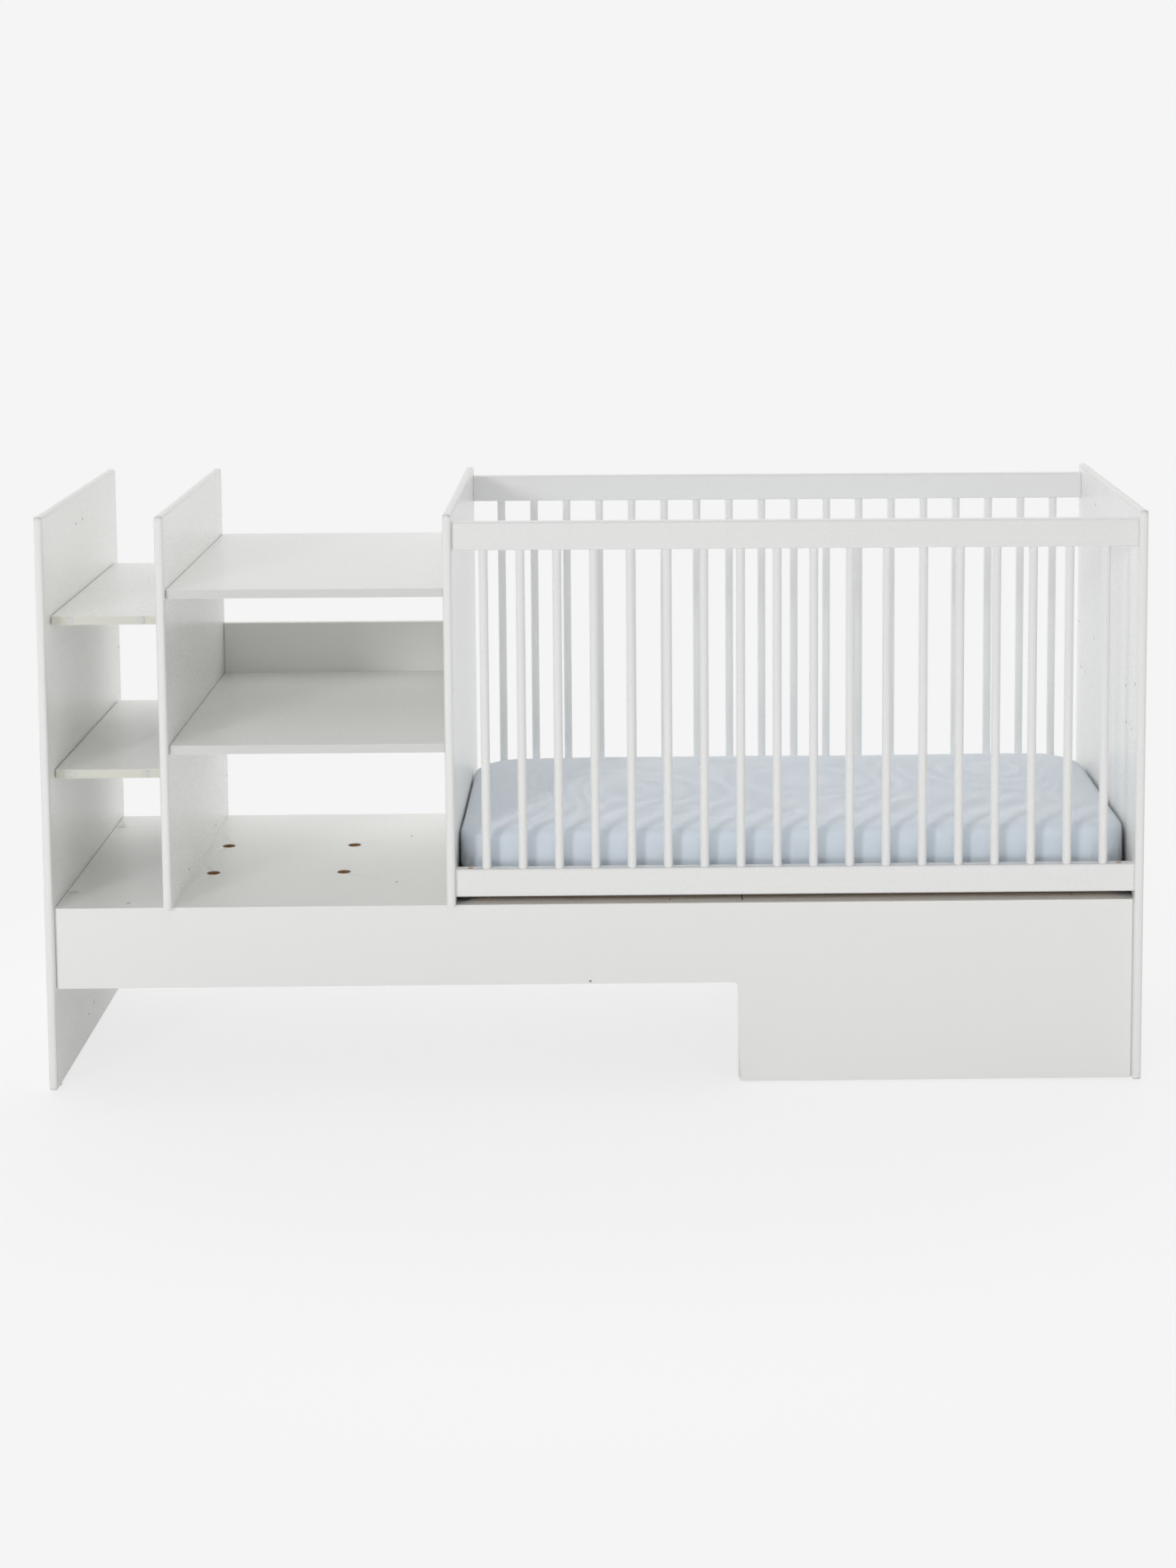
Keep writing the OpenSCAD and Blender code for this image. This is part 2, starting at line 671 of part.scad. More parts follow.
module base_end_member(x) {
    color(pine) translate([x, -base_w / 2 + base_frame_w, base_low_z])
        cube([base_frame_w, base_w - 2 * base_frame_w, base_frame_h]);
}

module base_left_member() { base_end_member(base_x0); }
module base_right_member() { base_end_member(base_x1 - base_frame_w); }

module base_slats() {
    slat_l = base_w - 2 * base_frame_w + 2 * slat_tongue - 2 * fit_gap;
    color(pine) for (i = [1 : slat_count])
        translate([slat_x(i), -slat_l / 2, base_high_z - slat_t])
            cube([slat_w, slat_l, slat_t]);
}

// Angle brackets on the crib's end panels, which carry the base's corners. Each has a narrow
// nose that reaches forward under the rail.
module base_bracket() {
    bracket_y = rear_y - bracket_front - bracket_l;
    difference() {
        union() {
            translate([crib_x, bracket_y, base_low_z - bracket_t])
                cube([bracket_w, bracket_l, bracket_t]);
            translate([crib_x, bracket_y, base_low_z - bracket_t])
                cube([bracket_t, bracket_l, bracket_up]);
            translate([crib_x + bracket_t, bracket_y, base_low_z - bracket_t])
                cube([bracket_nose_w, bracket_l + bracket_front - bracket_nose_front, bracket_t]);
        }
        for (s = bracket_screw_y)
            along_x(crib_x - over, crib_x + bracket_t + over, rear_y - s, bracket_screw_z,
                pin_hole_d);
    }
}

// Repeats its children at both ends of the crib
module both_crib_ends() {
    children();
    translate([2 * crib_mid_x, 0, 0]) mirror([1, 0, 0]) children();
}

module base_brackets() {
    color(black_plastic) both_crib_ends() front_and_rear() base_bracket();
}

module bracket_screws() {
    color(steel) both_crib_ends() front_and_rear() for (s = bracket_screw_y) {
        along_x(crib_x - fixing_hole_depth + over, crib_x + bracket_t, rear_y - s,
            bracket_screw_z, pin_d);
        along_x(crib_x + bracket_t, crib_x + bracket_t + bracket_head_t, rear_y - s,
            bracket_screw_z, bracket_head_d);
    }
}

// ---- Mattress and sheet ----

// Cushion-like block with rounded corners and long edges, grown outwards by grow
module pad(grow) {
    l = mattress_l + 2 * grow;
    w = mattress_w + 2 * grow;
    t = mattress_t + 2 * grow;
    r = mattress_edge_r + grow;
    x0 = crib_mid_x - l / 2;
    z0 = mattress_low_z - grow;
    intersection() {
        translate([x0, -w / 2, z0])
            linear_extrude(t) soft_rect(l, w, mattress_corner_r + grow);
        translate([x0, w / 2, z0]) rotate([90, 0, 0])
            linear_extrude(w) soft_rect(l, t, r);
        translate([x0, -w / 2, z0]) rotate([90, 0, 90])
            linear_extrude(l) soft_rect(w, t, r);
    }
}

module mattress() {
    color(foam_white) pad(0);
}

// The sheet wraps the mattress and turns in under it, with an opening in the middle
module fitted_sheet() {
    hem_l = mattress_l - 2 * sheet_hem_w;
    hem_w = mattress_w - 2 * sheet_hem_w;
    color(sheet_blue) difference() {
        pad(sheet_t);
        pad(0);
        translate([crib_mid_x - hem_l / 2, -hem_w / 2, mattress_low_z - sheet_t - over])
            cube([hem_l, hem_w, sheet_t + 2 * over]);
    }
}

// ---- Fasteners ----

// Bolt with its head sunk in the panel; heading is 1 when it points to the right
module connecting_bolt(panel_x, y, z, heading) {
    head_x = heading > 0 ? panel_x + head_sink - head_t : panel_x + panel_t - head_sink;
    shank_x = heading > 0 ? head_x + head_t : panel_x - bolt_reach;
    shank_l = panel_t - head_sink + bolt_reach;
    along_x(head_x, head_x + head_t, y, z, head_d);
    along_x(shank_x, shank_x + shank_l, y, z, bolt_d);
}

module rail_bolts() {
    color(steel) front_and_rear() for (z = rail_bolt_z) {
        connecting_bolt(crib_panel_x, rail_mid_y, z, 1);
        connecting_bolt(right_x, rail_mid_y, z, -1);
    }
}

module plinth_bolts() {
    color(steel) {
        front_and_rear() for (z = beam_bolt_z) connecting_bolt(left_x, plinth_mid_y, z, 1);
        for (z = deep_bolt_z) connecting_bolt(right_x, -plinth_mid_y, z, -1);
        for (z = beam_bolt_z) connecting_bolt(right_x, plinth_mid_y, z, -1);
    }
}

// Cross dowel, threaded across its middle for the bolt; standing is true where it is upright,
// as in the rails, and false where it lies across a plinth board
module cross_dowel(x, y, z, standing) {
    difference() {
        if (standing) along_z(x, y, z - barrel_l / 2, z + barrel_l / 2, barrel_d);
        else along_y(x, y - plinth_barrel_l / 2, y + plinth_barrel_l / 2, z, barrel_d);
        along_x(x - barrel_d, x + barrel_d, y, z, bolt_d + 2 * fit_gap);
    }
}

module rail_cross_dowels() {
    color(steel) front_and_rear() for (z = rail_bolt_z) {
        cross_dowel(crib_x + barrel_from_end, rail_mid_y, z, true);
        cross_dowel(right_x - barrel_from_end, rail_mid_y, z, true);
    }
}

module plinth_cross_dowels() {
    color(steel) {
        front_and_rear() for (z = beam_bolt_z)
            cross_dowel(shelf_bay_x + barrel_from_end, plinth_mid_y, z, false);
        for (z = deep_bolt_z)
            cross_dowel(right_x - barrel_from_end, -plinth_mid_y, z, false);
        for (z = beam_bolt_z)
            cross_dowel(right_x - barrel_from_end, plinth_mid_y, z, false);
    }
}

// Cover cap over a bolt head; outer is -1 or 1 for the side that it is on
module bolt_cap(face_x, y, z, outer) {
    plug_l = head_sink - head_t - fit_gap;
    cap_x = outer < 0 ? face_x - cap_t : face_x;
    plug_x0 = outer < 0 ? face_x : face_x - plug_l;
    along_x(cap_x, cap_x + cap_t, y, z, cap_d);
    along_x(plug_x0, plug_x0 + plug_l, y, z, head_d);
}

module bolt_caps() {
    color(white) {
        front_and_rear() {
            for (z = rail_bolt_z) {
                bolt_cap(crib_panel_x, rail_mid_y, z, -1);
                bolt_cap(right_x + panel_t, rail_mid_y, z, 1);
            }
            for (z = beam_bolt_z) bolt_cap(left_x, plinth_mid_y, z, -1);
        }
        for (z = deep_bolt_z) bolt_cap(right_x + panel_t, -plinth_mid_y, z, 1);
        for (z = beam_bolt_z) bolt_cap(right_x + panel_t, plinth_mid_y, z, 1);
    }
}

module rail_dowels() {
    color(pine) front_and_rear() for (z = rail_dowel_z) {
        along_x(crib_x - dowel_in_panel, crib_x + dowel_l - dowel_in_panel, rail_mid_y, z,
            dowel_d);
        along_x(right_x - dowel_l + dowel_in_panel, right_x + dowel_in_panel, rail_mid_y, z,
            dowel_d);
    }
}

module plinth_dowels() {
    color(pine) {
        front_and_rear() {
            for (z = beam_dowel_z)
                along_x(shelf_bay_x - dowel_in_panel, shelf_bay_x + dowel_l - dowel_in_panel,
                    plinth_mid_y, z, dowel_d);
            for (z = cross_rail_dowel_z)
                along_y(board_joint_x, board_rear_y - dowel_l + edge_dowel_in,
                    board_rear_y + edge_dowel_in, z, dowel_d);
        }
        for (z = deep_dowel_z) plinth_right_dowel(-plinth_mid_y, z);
        for (z = beam_dowel_z) plinth_right_dowel(plinth_mid_y, z);
    }
}

module plinth_right_dowel(y, z)
    along_x(right_x - dowel_l + dowel_in_panel, right_x + dowel_in_panel, y, z, dowel_d);

module board_dowels() {
    color(pine) {
        for (x = edge_dowel_x) front_and_rear()
            along_y(x, board_rear_y - dowel_l + edge_dowel_in, board_rear_y + edge_dowel_in,
                board_mid_z, dowel_d);
        for (y = joint_dowel_y)
            along_x(board_joint_x - dowel_l / 2, board_joint_x + dowel_l / 2, y, board_mid_z,
                dowel_d);
        for (z = back_rail_dowel_z) {
            along_x(changer_x - dowel_in_panel, changer_x + dowel_l - dowel_in_panel,
                rear_y - board_t / 2, changer_shelf_z + z, dowel_d);
            along_x(crib_panel_x - dowel_l + dowel_in_panel, crib_panel_x + dowel_in_panel,
                rear_y - board_t / 2, changer_shelf_z + z, dowel_d);
        }
    }
}

// Round housing with a slot in its face and a bore for the connector bolt's head; face_up is
// true when its face is in a top side
module connector(x, y, board_top_z, face_up) {
    z0 = face_up ? board_top_z - connector_h : board_top_z - board_t;
    slot_z = face_up ? z0 + connector_h - slot_deep : z0 - over;
    bore_z = board_top_z - board_t / 2;
    difference() {
        along_z(x, y, z0, z0 + connector_h, connector_d);
        translate([x - slot_l / 2, y - slot_w / 2, slot_z])
            cube([slot_l, slot_w, slot_deep + over]);
        along_x(x - connector_d, x + connector_d, y, bore_z, pin_hole_d);
    }
}

module board_connectors() {
    color(white) {
        for (y = board_connector_y) {
            connector(shelf_bay_x + connector_in, y, base_top, true);
            connector(right_x - connector_in, y, base_top, true);
        }
        for (z = [changer_top_z, changer_shelf_z], y = shelf_connector_y) {
            connector(changer_x + connector_in, y, z, false);
            connector(crib_panel_x - connector_in, y, z, false);
        }
    }
}

module connector_bolts() {
    bolt_in = dowel_in_panel - over;
    bolt_out = connector_in;
    color(steel) {
        for (y = board_connector_y) {
            along_x(shelf_bay_x - bolt_in, shelf_bay_x + bolt_out, y, board_mid_z, pin_d);
            along_x(right_x - bolt_out, right_x + bolt_in, y, board_mid_z, pin_d);
        }
        for (z = [changer_top_z, changer_shelf_z], y = shelf_connector_y) {
            along_x(changer_x - bolt_in, changer_x + bolt_out, y, z - board_t / 2, pin_d);
            along_x(crib_panel_x - bolt_out, crib_panel_x + bolt_in, y, z - board_t / 2,
                pin_d);
        }
    }
}

module upright_screws() {
    low_z = base_top - board_t;
    color(steel) for (x = [divider_x, crib_panel_x], y = upright_screw_y) {
        along_z(x + panel_t / 2, y, low_z, low_z + screw_head_t, screw_head_d);
        along_z(x + panel_t / 2, y, low_z + screw_head_t, low_z + screw_l, screw_d);
    }
}

module shelf_pins() {
    color(steel) for (z = [upper_shelf_z, lower_shelf_z], y = shelf_pin_y) {
        pin_z = z - board_t - pin_d / 2;
        along_x(shelf_bay_x - pin_in, shelf_bay_x + pin_out, y, pin_z, pin_d);
        along_x(divider_x - pin_out, divider_x + pin_in, y, pin_z, pin_d);
    }
}

module shelf_edge_plugs() {
    color(white) for (z = [upper_shelf_z, lower_shelf_z], x = plug_x)
        along_y(x, shelf_front_y - plug_proud, shelf_front_y + plug_in, z - board_t / 2,
            plug_d);
}

module glide(x, y) {
    along_z(x, y, 0, glide_h, glide_d);
    along_z(x, y, glide_h, glide_h + nail_l, nail_d);
}

module floor_glides() {
    color(cream) front_and_rear() for (x = [left_x, right_x])
        glide(x + panel_t / 2, rear_y - glide_from_edge);
}

// ---- Draw ----

left_end_panel();
divider_panel();
crib_left_panel();
right_end_panel();
front_plinth();
rear_plinth();
base_cross_rail();
changer_base_board();
crib_base_board();
upper_small_shelf();
lower_small_shelf();
changer_top();
changer_shelf();
shelf_back_rail();
front_top_rail();
front_low_rail();
rear_top_rail();
rear_low_rail();
for (i = [1 : bar_count])
    bar(i, -rail_mid_y);
rear_bars();
base_front_member();
base_rear_member();
base_left_member();
base_right_member();
base_slats();
base_brackets();
bracket_screws();
mattress();
fitted_sheet();
rail_bolts();
plinth_bolts();
rail_cross_dowels();
plinth_cross_dowels();
bolt_caps();
rail_dowels();
plinth_dowels();
board_dowels();
board_connectors();
connector_bolts();
upright_screws();
shelf_pins();
shelf_edge_plugs();
floor_glides();
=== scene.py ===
"""Looks of the crib with attached changer: softened boards and rails with their finishes, the
mattress, and the fitted sheet stretched over it.

Metres. X runs along the length, the front faces -Y, and Z is up from the floor.
"""
import json
import math

import bmesh
import bpy
import numpy as np
from mathutils import Matrix, Vector

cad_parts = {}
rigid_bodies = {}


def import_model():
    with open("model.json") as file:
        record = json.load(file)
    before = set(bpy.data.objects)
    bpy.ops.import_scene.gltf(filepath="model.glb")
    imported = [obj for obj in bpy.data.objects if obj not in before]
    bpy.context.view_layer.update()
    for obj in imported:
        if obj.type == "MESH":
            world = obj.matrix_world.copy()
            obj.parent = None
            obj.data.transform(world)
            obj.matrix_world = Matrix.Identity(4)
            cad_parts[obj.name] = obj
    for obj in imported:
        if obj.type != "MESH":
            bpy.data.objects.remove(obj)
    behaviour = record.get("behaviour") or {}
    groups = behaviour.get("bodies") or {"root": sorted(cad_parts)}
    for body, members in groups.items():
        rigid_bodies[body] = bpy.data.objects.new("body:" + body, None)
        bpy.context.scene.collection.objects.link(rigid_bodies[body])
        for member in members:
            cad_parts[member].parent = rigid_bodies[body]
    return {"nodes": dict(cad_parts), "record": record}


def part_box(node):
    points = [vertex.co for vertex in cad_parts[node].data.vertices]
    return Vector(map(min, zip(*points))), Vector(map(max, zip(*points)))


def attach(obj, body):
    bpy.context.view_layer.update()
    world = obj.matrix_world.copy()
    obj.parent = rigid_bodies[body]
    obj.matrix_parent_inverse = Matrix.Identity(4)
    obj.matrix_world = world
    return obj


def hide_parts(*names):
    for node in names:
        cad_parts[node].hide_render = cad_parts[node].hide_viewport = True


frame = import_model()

NODES = frame["nodes"]
BODY_OF = {node: body for body, members in frame["record"]["behaviour"]["bodies"].items()
           for node in members}
# Whatever else the start scene holds isn't part of the object
for spare in [o for o in bpy.data.objects if o.name not in NODES and "body:" not in o.name]:
    bpy.data.objects.remove(spare)
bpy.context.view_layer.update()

MM = 0.001
MERGE = 1e-6                      # corners closer than this are one corner
SHARP = math.radians(40)          # edges that turn more than this stay sharp


# ---- Camera, lights, floor ----

IMAGE = (1320, 1760)              # pixels, width and height
FOCAL_PX = 3138.61
PRINCIPAL = (781.85, 483.47)      # pixels, from the top left corner
CAMERA_AT = (0.08715, -5.22556, 1.71682)
CAMERA_YAW = 0.019653             # radians, positive to the right
CAMERA_PITCH = 0.108488           # downwards
CAMERA_ROLL = -0.003567
SENSOR_MM = 36


def make_camera():
    """The camera that took the photograph, worked out from the object's edges."""
    yaw, pitch, roll = CAMERA_YAW, CAMERA_PITCH, CAMERA_ROLL
    ahead = Vector((math.sin(yaw) * math.cos(pitch), math.cos(yaw) * math.cos(pitch),
                    -math.sin(pitch)))
    level_right = Vector((math.cos(yaw), -math.sin(yaw), 0))
    level_up = level_right.cross(ahead)
    right = level_right * math.cos(roll) + level_up * math.sin(roll)
    up = level_up * math.cos(roll) - level_right * math.sin(roll)
    turn = Matrix((right, up, -ahead)).transposed().to_4x4()
    data = bpy.data.cameras.new("camera")
    data.sensor_width = SENSOR_MM
    data.lens = FOCAL_PX * SENSOR_MM / max(IMAGE)
    data.shift_x = (IMAGE[0] / 2 - PRINCIPAL[0]) / max(IMAGE)
    data.shift_y = (PRINCIPAL[1] - IMAGE[1] / 2) / max(IMAGE)
    data.clip_end = 100
    camera = bpy.data.objects.new("camera", data)
    camera.matrix_world = Matrix.Translation(CAMERA_AT) @ turn
    bpy.context.scene.collection.objects.link(camera)
    bpy.context.scene.camera = camera


BACKGROUND = 0.913                # shown by the world and the far floor
# Light from the surroundings: the same all round, and more from these sides (direction, strength)
SKY_EVEN = 0.36
SKY_SIDES = {"sky_back": ((0, 1, 0), 0.85), "sky_back_low": ((0, 0.9, -0.43), 0.7),
             "sky_front": ((0, -1, 0), 0.04), "sky_front_low": ((0, -0.9, -0.43), 0.1),
             "sky_top": ((0, 0, 1), 0.12)}
# Each lamp: place, point that it faces, width and height of its panel, watts
LAMPS = {
    "lamp_key": ((-5.2, -9.6, 3.6), (0.2, 0, 0.5), (1.7, 1.7), 225),
    "lamp_low": ((0, -1.9, 0.13), (0, 0, 0.45), (4.2, 0.26), 4.6),
    "lamp_back_left": ((-3.4, 2.1, 0.8), (0, 0, 0.5), (1.8, 1.8), 12),
}


def make_lamps():
    """Soft lamps; the camera doesn't see their panels."""
    for name, (place, target, size, watts) in LAMPS.items():
        data = bpy.data.lights.new(name, "AREA")
        data.shape = "RECTANGLE"
        data.size, data.size_y = size
        data.energy = watts
        lamp = bpy.data.objects.new(name, data)
        lamp.location = place
        lamp.rotation_euler = (Vector(target) - Vector(place)).to_track_quat("-Z", "Y").to_euler()
        lamp.visible_camera = False
        bpy.context.scene.collection.objects.link(lamp)


def shown_rays(tree):
    """1 for rays of the camera, reflections and see-through, 0 for rays that carry light."""
    path = tree.nodes.new("ShaderNodeLightPath")
    both = math_node(tree, "MAXIMUM", path.outputs["Is Camera Ray"], path.outputs["Is Glossy Ray"])
    return math_node(tree, "MAXIMUM", both, path.outputs["Is Transmission Ray"])


def make_world():
    """Soft light from all round; the camera and reflections see a plain pale background."""
    world = bpy.data.worlds.new("studio")
    world.use_nodes = True
    tree = world.node_tree
    shade = tree.nodes["Background"]
    shade.inputs["Color"].default_value = (1, 1, 1, 1)
    heading = tree.nodes.new("ShaderNodeTexCoord").outputs["Generated"]
    light = SKY_EVEN
    for name, (side, strength) in SKY_SIDES.items():
        facing = tree.nodes.new("ShaderNodeVectorMath")
        facing.operation = "DOT_PRODUCT"
        facing.inputs[1].default_value = side
        tree.links.new(heading, facing.inputs[0])
        part = math_node(tree, "MULTIPLY", math_node(tree, "MAXIMUM", facing.outputs["Value"], 0),
                         strength)
        part.node.name = name
        light = math_node(tree, "ADD", part, light)
        light.node.name = "sum_" + name
    level = tree.nodes.new("ShaderNodeMix")
    feed(tree, level.inputs["Factor"], shown_rays(tree))
    feed(tree, level.inputs["A"], light)
    feed(tree, level.inputs["B"], BACKGROUND)
    tree.links.new(level.outputs["Result"], shade.inputs["Strength"])
    bpy.context.scene.world = world


FLOOR_HALF = 30                   # half the floor's side
FLOOR_NEAR, FLOOR_FAR = 1.0, 1.85  # the floor's own shading fades out between these distances
FLOOR_WHITE = 0.85                # how much light the floor throws back
FLOOR_GLOW = 0.72                 # the camera sees this level, and on top of it
FLOOR_SHOWN_WHITE = 0.25          # a floor of this colour, lit and shadowed


def make_floor():
    """A pale floor that takes the object's shadow close by and meets the background far off."""
    mesh = bpy.data.meshes.new("floor")
    corners = [(x * FLOOR_HALF, y * FLOOR_HALF, 0) for x, y in ((-1, -1), (1, -1), (1, 1), (-1, 1))]
    mesh.from_pydata(corners, [], [(0, 1, 2, 3)])
    floor = bpy.data.objects.new("floor", mesh)
    bpy.context.scene.collection.objects.link(floor)

    material = bpy.data.materials.new("floor")
    material.use_nodes = True
    tree = material.node_tree
    tree.nodes.clear()
    out = tree.nodes.new("ShaderNodeOutputMaterial")
    thrown = tree.nodes.new("ShaderNodeBsdfDiffuse")
    thrown.inputs["Color"].default_value = (FLOOR_WHITE,) * 3 + (1,)
    shown = tree.nodes.new("ShaderNodeBsdfDiffuse")
    shown.inputs["Color"].default_value = (FLOOR_SHOWN_WHITE,) * 3 + (1,)
    glow = tree.nodes.new("ShaderNodeEmission")
    glow.inputs["Strength"].default_value = FLOOR_GLOW
    near = tree.nodes.new("ShaderNodeAddShader")
    tree.links.new(shown.outputs[0], near.inputs[0])
    tree.links.new(glow.outputs[0], near.inputs[1])
    far = tree.nodes.new("ShaderNodeEmission")
    far.inputs["Strength"].default_value = BACKGROUND

    place = tree.nodes.new("ShaderNodeTexCoord").outputs["Object"]
    distance = tree.nodes.new("ShaderNodeVectorMath")
    distance.operation = "LENGTH"
    tree.links.new(place, distance.inputs[0])
    fade = tree.nodes.new("ShaderNodeMapRange")
    fade.interpolation_type = "SMOOTHSTEP"
    fade.inputs["From Min"].default_value = FLOOR_NEAR
    fade.inputs["From Max"].default_value = FLOOR_FAR
    tree.links.new(distance.outputs["Value"], fade.inputs["Value"])
    seen = mix_shader(tree, fade.outputs["Result"], near.outputs[0], far.outputs[0])
    final = mix_shader(tree, shown_rays(tree), thrown.outputs[0], seen)
    tree.links.new(final, out.inputs["Surface"])
    mesh.materials.append(material)


# ---- Shader helpers ----

def math_node(tree, operation, *values):
    """A Math node; each value is a number or another node's output."""
    node = tree.nodes.new("ShaderNodeMath")
    node.operation = operation
    for socket, value in zip(node.inputs, values):
        feed(tree, socket, value)
    return node.outputs[0]


def feed(tree, socket, value):
    """Links another node's output to the socket, or sets a number or a colour on it."""
    if isinstance(value, bpy.types.NodeSocket):
        tree.links.new(value, socket)
    elif hasattr(socket.default_value, "__len__") and len(value) < len(socket.default_value):
        socket.default_value = (*value, 1)
    else:
        socket.default_value = value


def mix_shader(tree, share, first, second):
    node = tree.nodes.new("ShaderNodeMixShader")
    for socket, value in zip(node.inputs, (share, first, second)):
        tree.links.new(value, socket)
    return node.outputs[0]


def mix_colour(tree, share, first, second, blend="MIX"):
    node = tree.nodes.new("ShaderNodeMix")
    node.data_type = "RGBA"
    node.blend_type = blend
    feed(tree, node.inputs["Factor"], share)
    feed(tree, node.inputs[6], first)
    feed(tree, node.inputs[7], second)
    return node.outputs[2]


def object_place(tree, stretch=(1, 1, 1)):
    """Coordinates of the rest position in metres, times stretch along each axis."""
    place = tree.nodes.new("ShaderNodeTexCoord").outputs["Object"]
    mapping = tree.nodes.new("ShaderNodeMapping")
    mapping.inputs["Scale"].default_value = stretch
    tree.links.new(place, mapping.inputs["Vector"])
    return mapping.outputs["Vector"]


def noise_node(tree, place, scale, detail=2.0, roughness=0.5, distortion=0.0):
    node = tree.nodes.new("ShaderNodeTexNoise")
    node.inputs["Scale"].default_value = scale
    node.inputs["Detail"].default_value = detail
    node.inputs["Roughness"].default_value = roughness
    node.inputs["Distortion"].default_value = distortion
    tree.links.new(place, node.inputs["Vector"])
    return node.outputs["Fac"]


def ramp(tree, value, low, high, to_low=0.0, to_high=1.0):
    """value, from low..high to to_low..to_high."""
    node = tree.nodes.new("ShaderNodeMapRange")
    for name, number in (("From Min", low), ("From Max", high), ("To Min", to_low),
                         ("To Max", to_high)):
        node.inputs[name].default_value = number
    tree.links.new(value, node.inputs["Value"])
    return node.outputs["Result"]


def bump(tree, height, depth, strength=1.0, under=None):
    node = tree.nodes.new("ShaderNodeBump")
    node.inputs["Distance"].default_value = depth
    node.inputs["Strength"].default_value = strength
    tree.links.new(height, node.inputs["Height"])
    if under is not None:
        tree.links.new(under, node.inputs["Normal"])
    return node.outputs["Normal"]


def blank(name, **constants):
    """A new material, its node tree and its main shader with these constants set."""
    material = bpy.data.materials.new(name)
    material.use_nodes = True
    shader = material.node_tree.nodes["Principled BSDF"]
    for socket, value in constants.items():
        feed(material.node_tree, shader.inputs[socket.replace("_", " ")], value)
    return material, material.node_tree, shader


# ---- Materials ----

WHITE = (0.950, 0.950, 0.932)     # melamine
WHITE_WORN = (0.936, 0.938, 0.914)
PAINT = (0.925, 0.925, 0.918)     # lacquer
PAINT_THIN = (0.912, 0.911, 0.900)
CREAM = (0.780, 0.780, 0.700)     # front edges of the small shelves
BAND_AND_SHADE = (0.775, 0.775, 0.760)      # edge band of the changer board and its shelf: a tone of its own, made darker still as painted shade for the weaker light high on the front
CHIP_DARK, CHIP_LIGHT, CHIP_GAP = (0.40, 0.22, 0.10), (0.62, 0.42, 0.24), (0.30, 0.15, 0.06)
ZINC_BRIGHT, ZINC_DULL = (0.72, 0.73, 0.74), (0.52, 0.53, 0.52)
SHEET_BLUE = (0.785, 0.858, 0.930)
SHEET_BLUE_DEEP = (0.745, 0.828, 0.912)
SHEET_PALE = (0.83, 0.89, 0.94)   # single light threads in the sheet
TICK_LIGHT, TICK_DARK = (0.76, 0.75, 0.70), (0.66, 0.65, 0.60)
PINE_LIGHT, PINE_DARK = (0.72, 0.53, 0.32), (0.55, 0.34, 0.17)
BEECH_LIGHT, BEECH_DARK = (0.66, 0.47, 0.30), (0.52, 0.34, 0.20)
BLACK_PLASTIC = (0.022, 0.022, 0.024)
WHITE_PLASTIC = (0.76, 0.76, 0.745)


def melamine(name, colour=WHITE, other=WHITE_WORN):
    """Satin melamine-faced board: a fine press texture, slight waves and a faint cloudiness."""
    material, tree, shader = blank(name, Specular_IOR_Level=0.2)
    place = object_place(tree)
    cloud = ramp(tree, noise_node(tree, place, 1.3, 1.0), 0.3, 0.7, 0.0, 0.5)
    tree.links.new(mix_colour(tree, cloud, colour, other), shader.inputs["Base Color"])
    press = noise_node(tree, place, 700, 2.0)
    waves = noise_node(tree, place, 14, 1.0)
    rough = ramp(tree, press, 0.3, 0.7, 0.255, 0.29)
    tree.links.new(rough, shader.inputs["Roughness"])
    tree.links.new(bump(tree, waves, 0.00006, 0.3), shader.inputs["Normal"])
    return material


def lacquer(name, stretch):
    """Sprayed lacquer on solid wood: the grain shows through as faint long lines."""
    material, tree, shader = blank(name, Specular_IOR_Level=0.5)
    grain = noise_node(tree, object_place(tree, stretch), 1.0, 4.0, 0.6)
    fine = noise_node(tree, object_place(tree), 420, 2.0)
    tone = ramp(tree, grain, 0.3, 0.7, 0.0, 0.7)
    tree.links.new(mix_colour(tree, tone, PAINT, PAINT_THIN), shader.inputs["Base Color"])
    tree.links.new(ramp(tree, fine, 0.3, 0.7, 0.26, 0.32), shader.inputs["Roughness"])
    soft = bump(tree, grain, 0.00002, 0.4)
    tree.links.new(bump(tree, fine, 0.00002, 0.1, soft), shader.inputs["Normal"])
    return material


def chipboard(name):
    """The board's raw core, as the drilled holes show it: pressed chips of brown wood."""
    material, tree, shader = blank(name, Roughness=0.85)
    place = object_place(tree)
    chips = tree.nodes.new("ShaderNodeTexVoronoi")
    chips.inputs["Scale"].default_value = 520
    tree.links.new(place, chips.inputs["Vector"])
    tone = noise_node(tree, place, 260, 3.0)
    brown = mix_colour(tree, tone, CHIP_DARK, CHIP_LIGHT)
    tree.links.new(mix_colour(tree, ramp(tree, chips.outputs["Distance"], 0, 0.6), brown, CHIP_GAP),
                   shader.inputs["Base Color"])
    tree.links.new(bump(tree, chips.outputs["Distance"], 0.0003, 0.8), shader.inputs["Normal"])
    return material


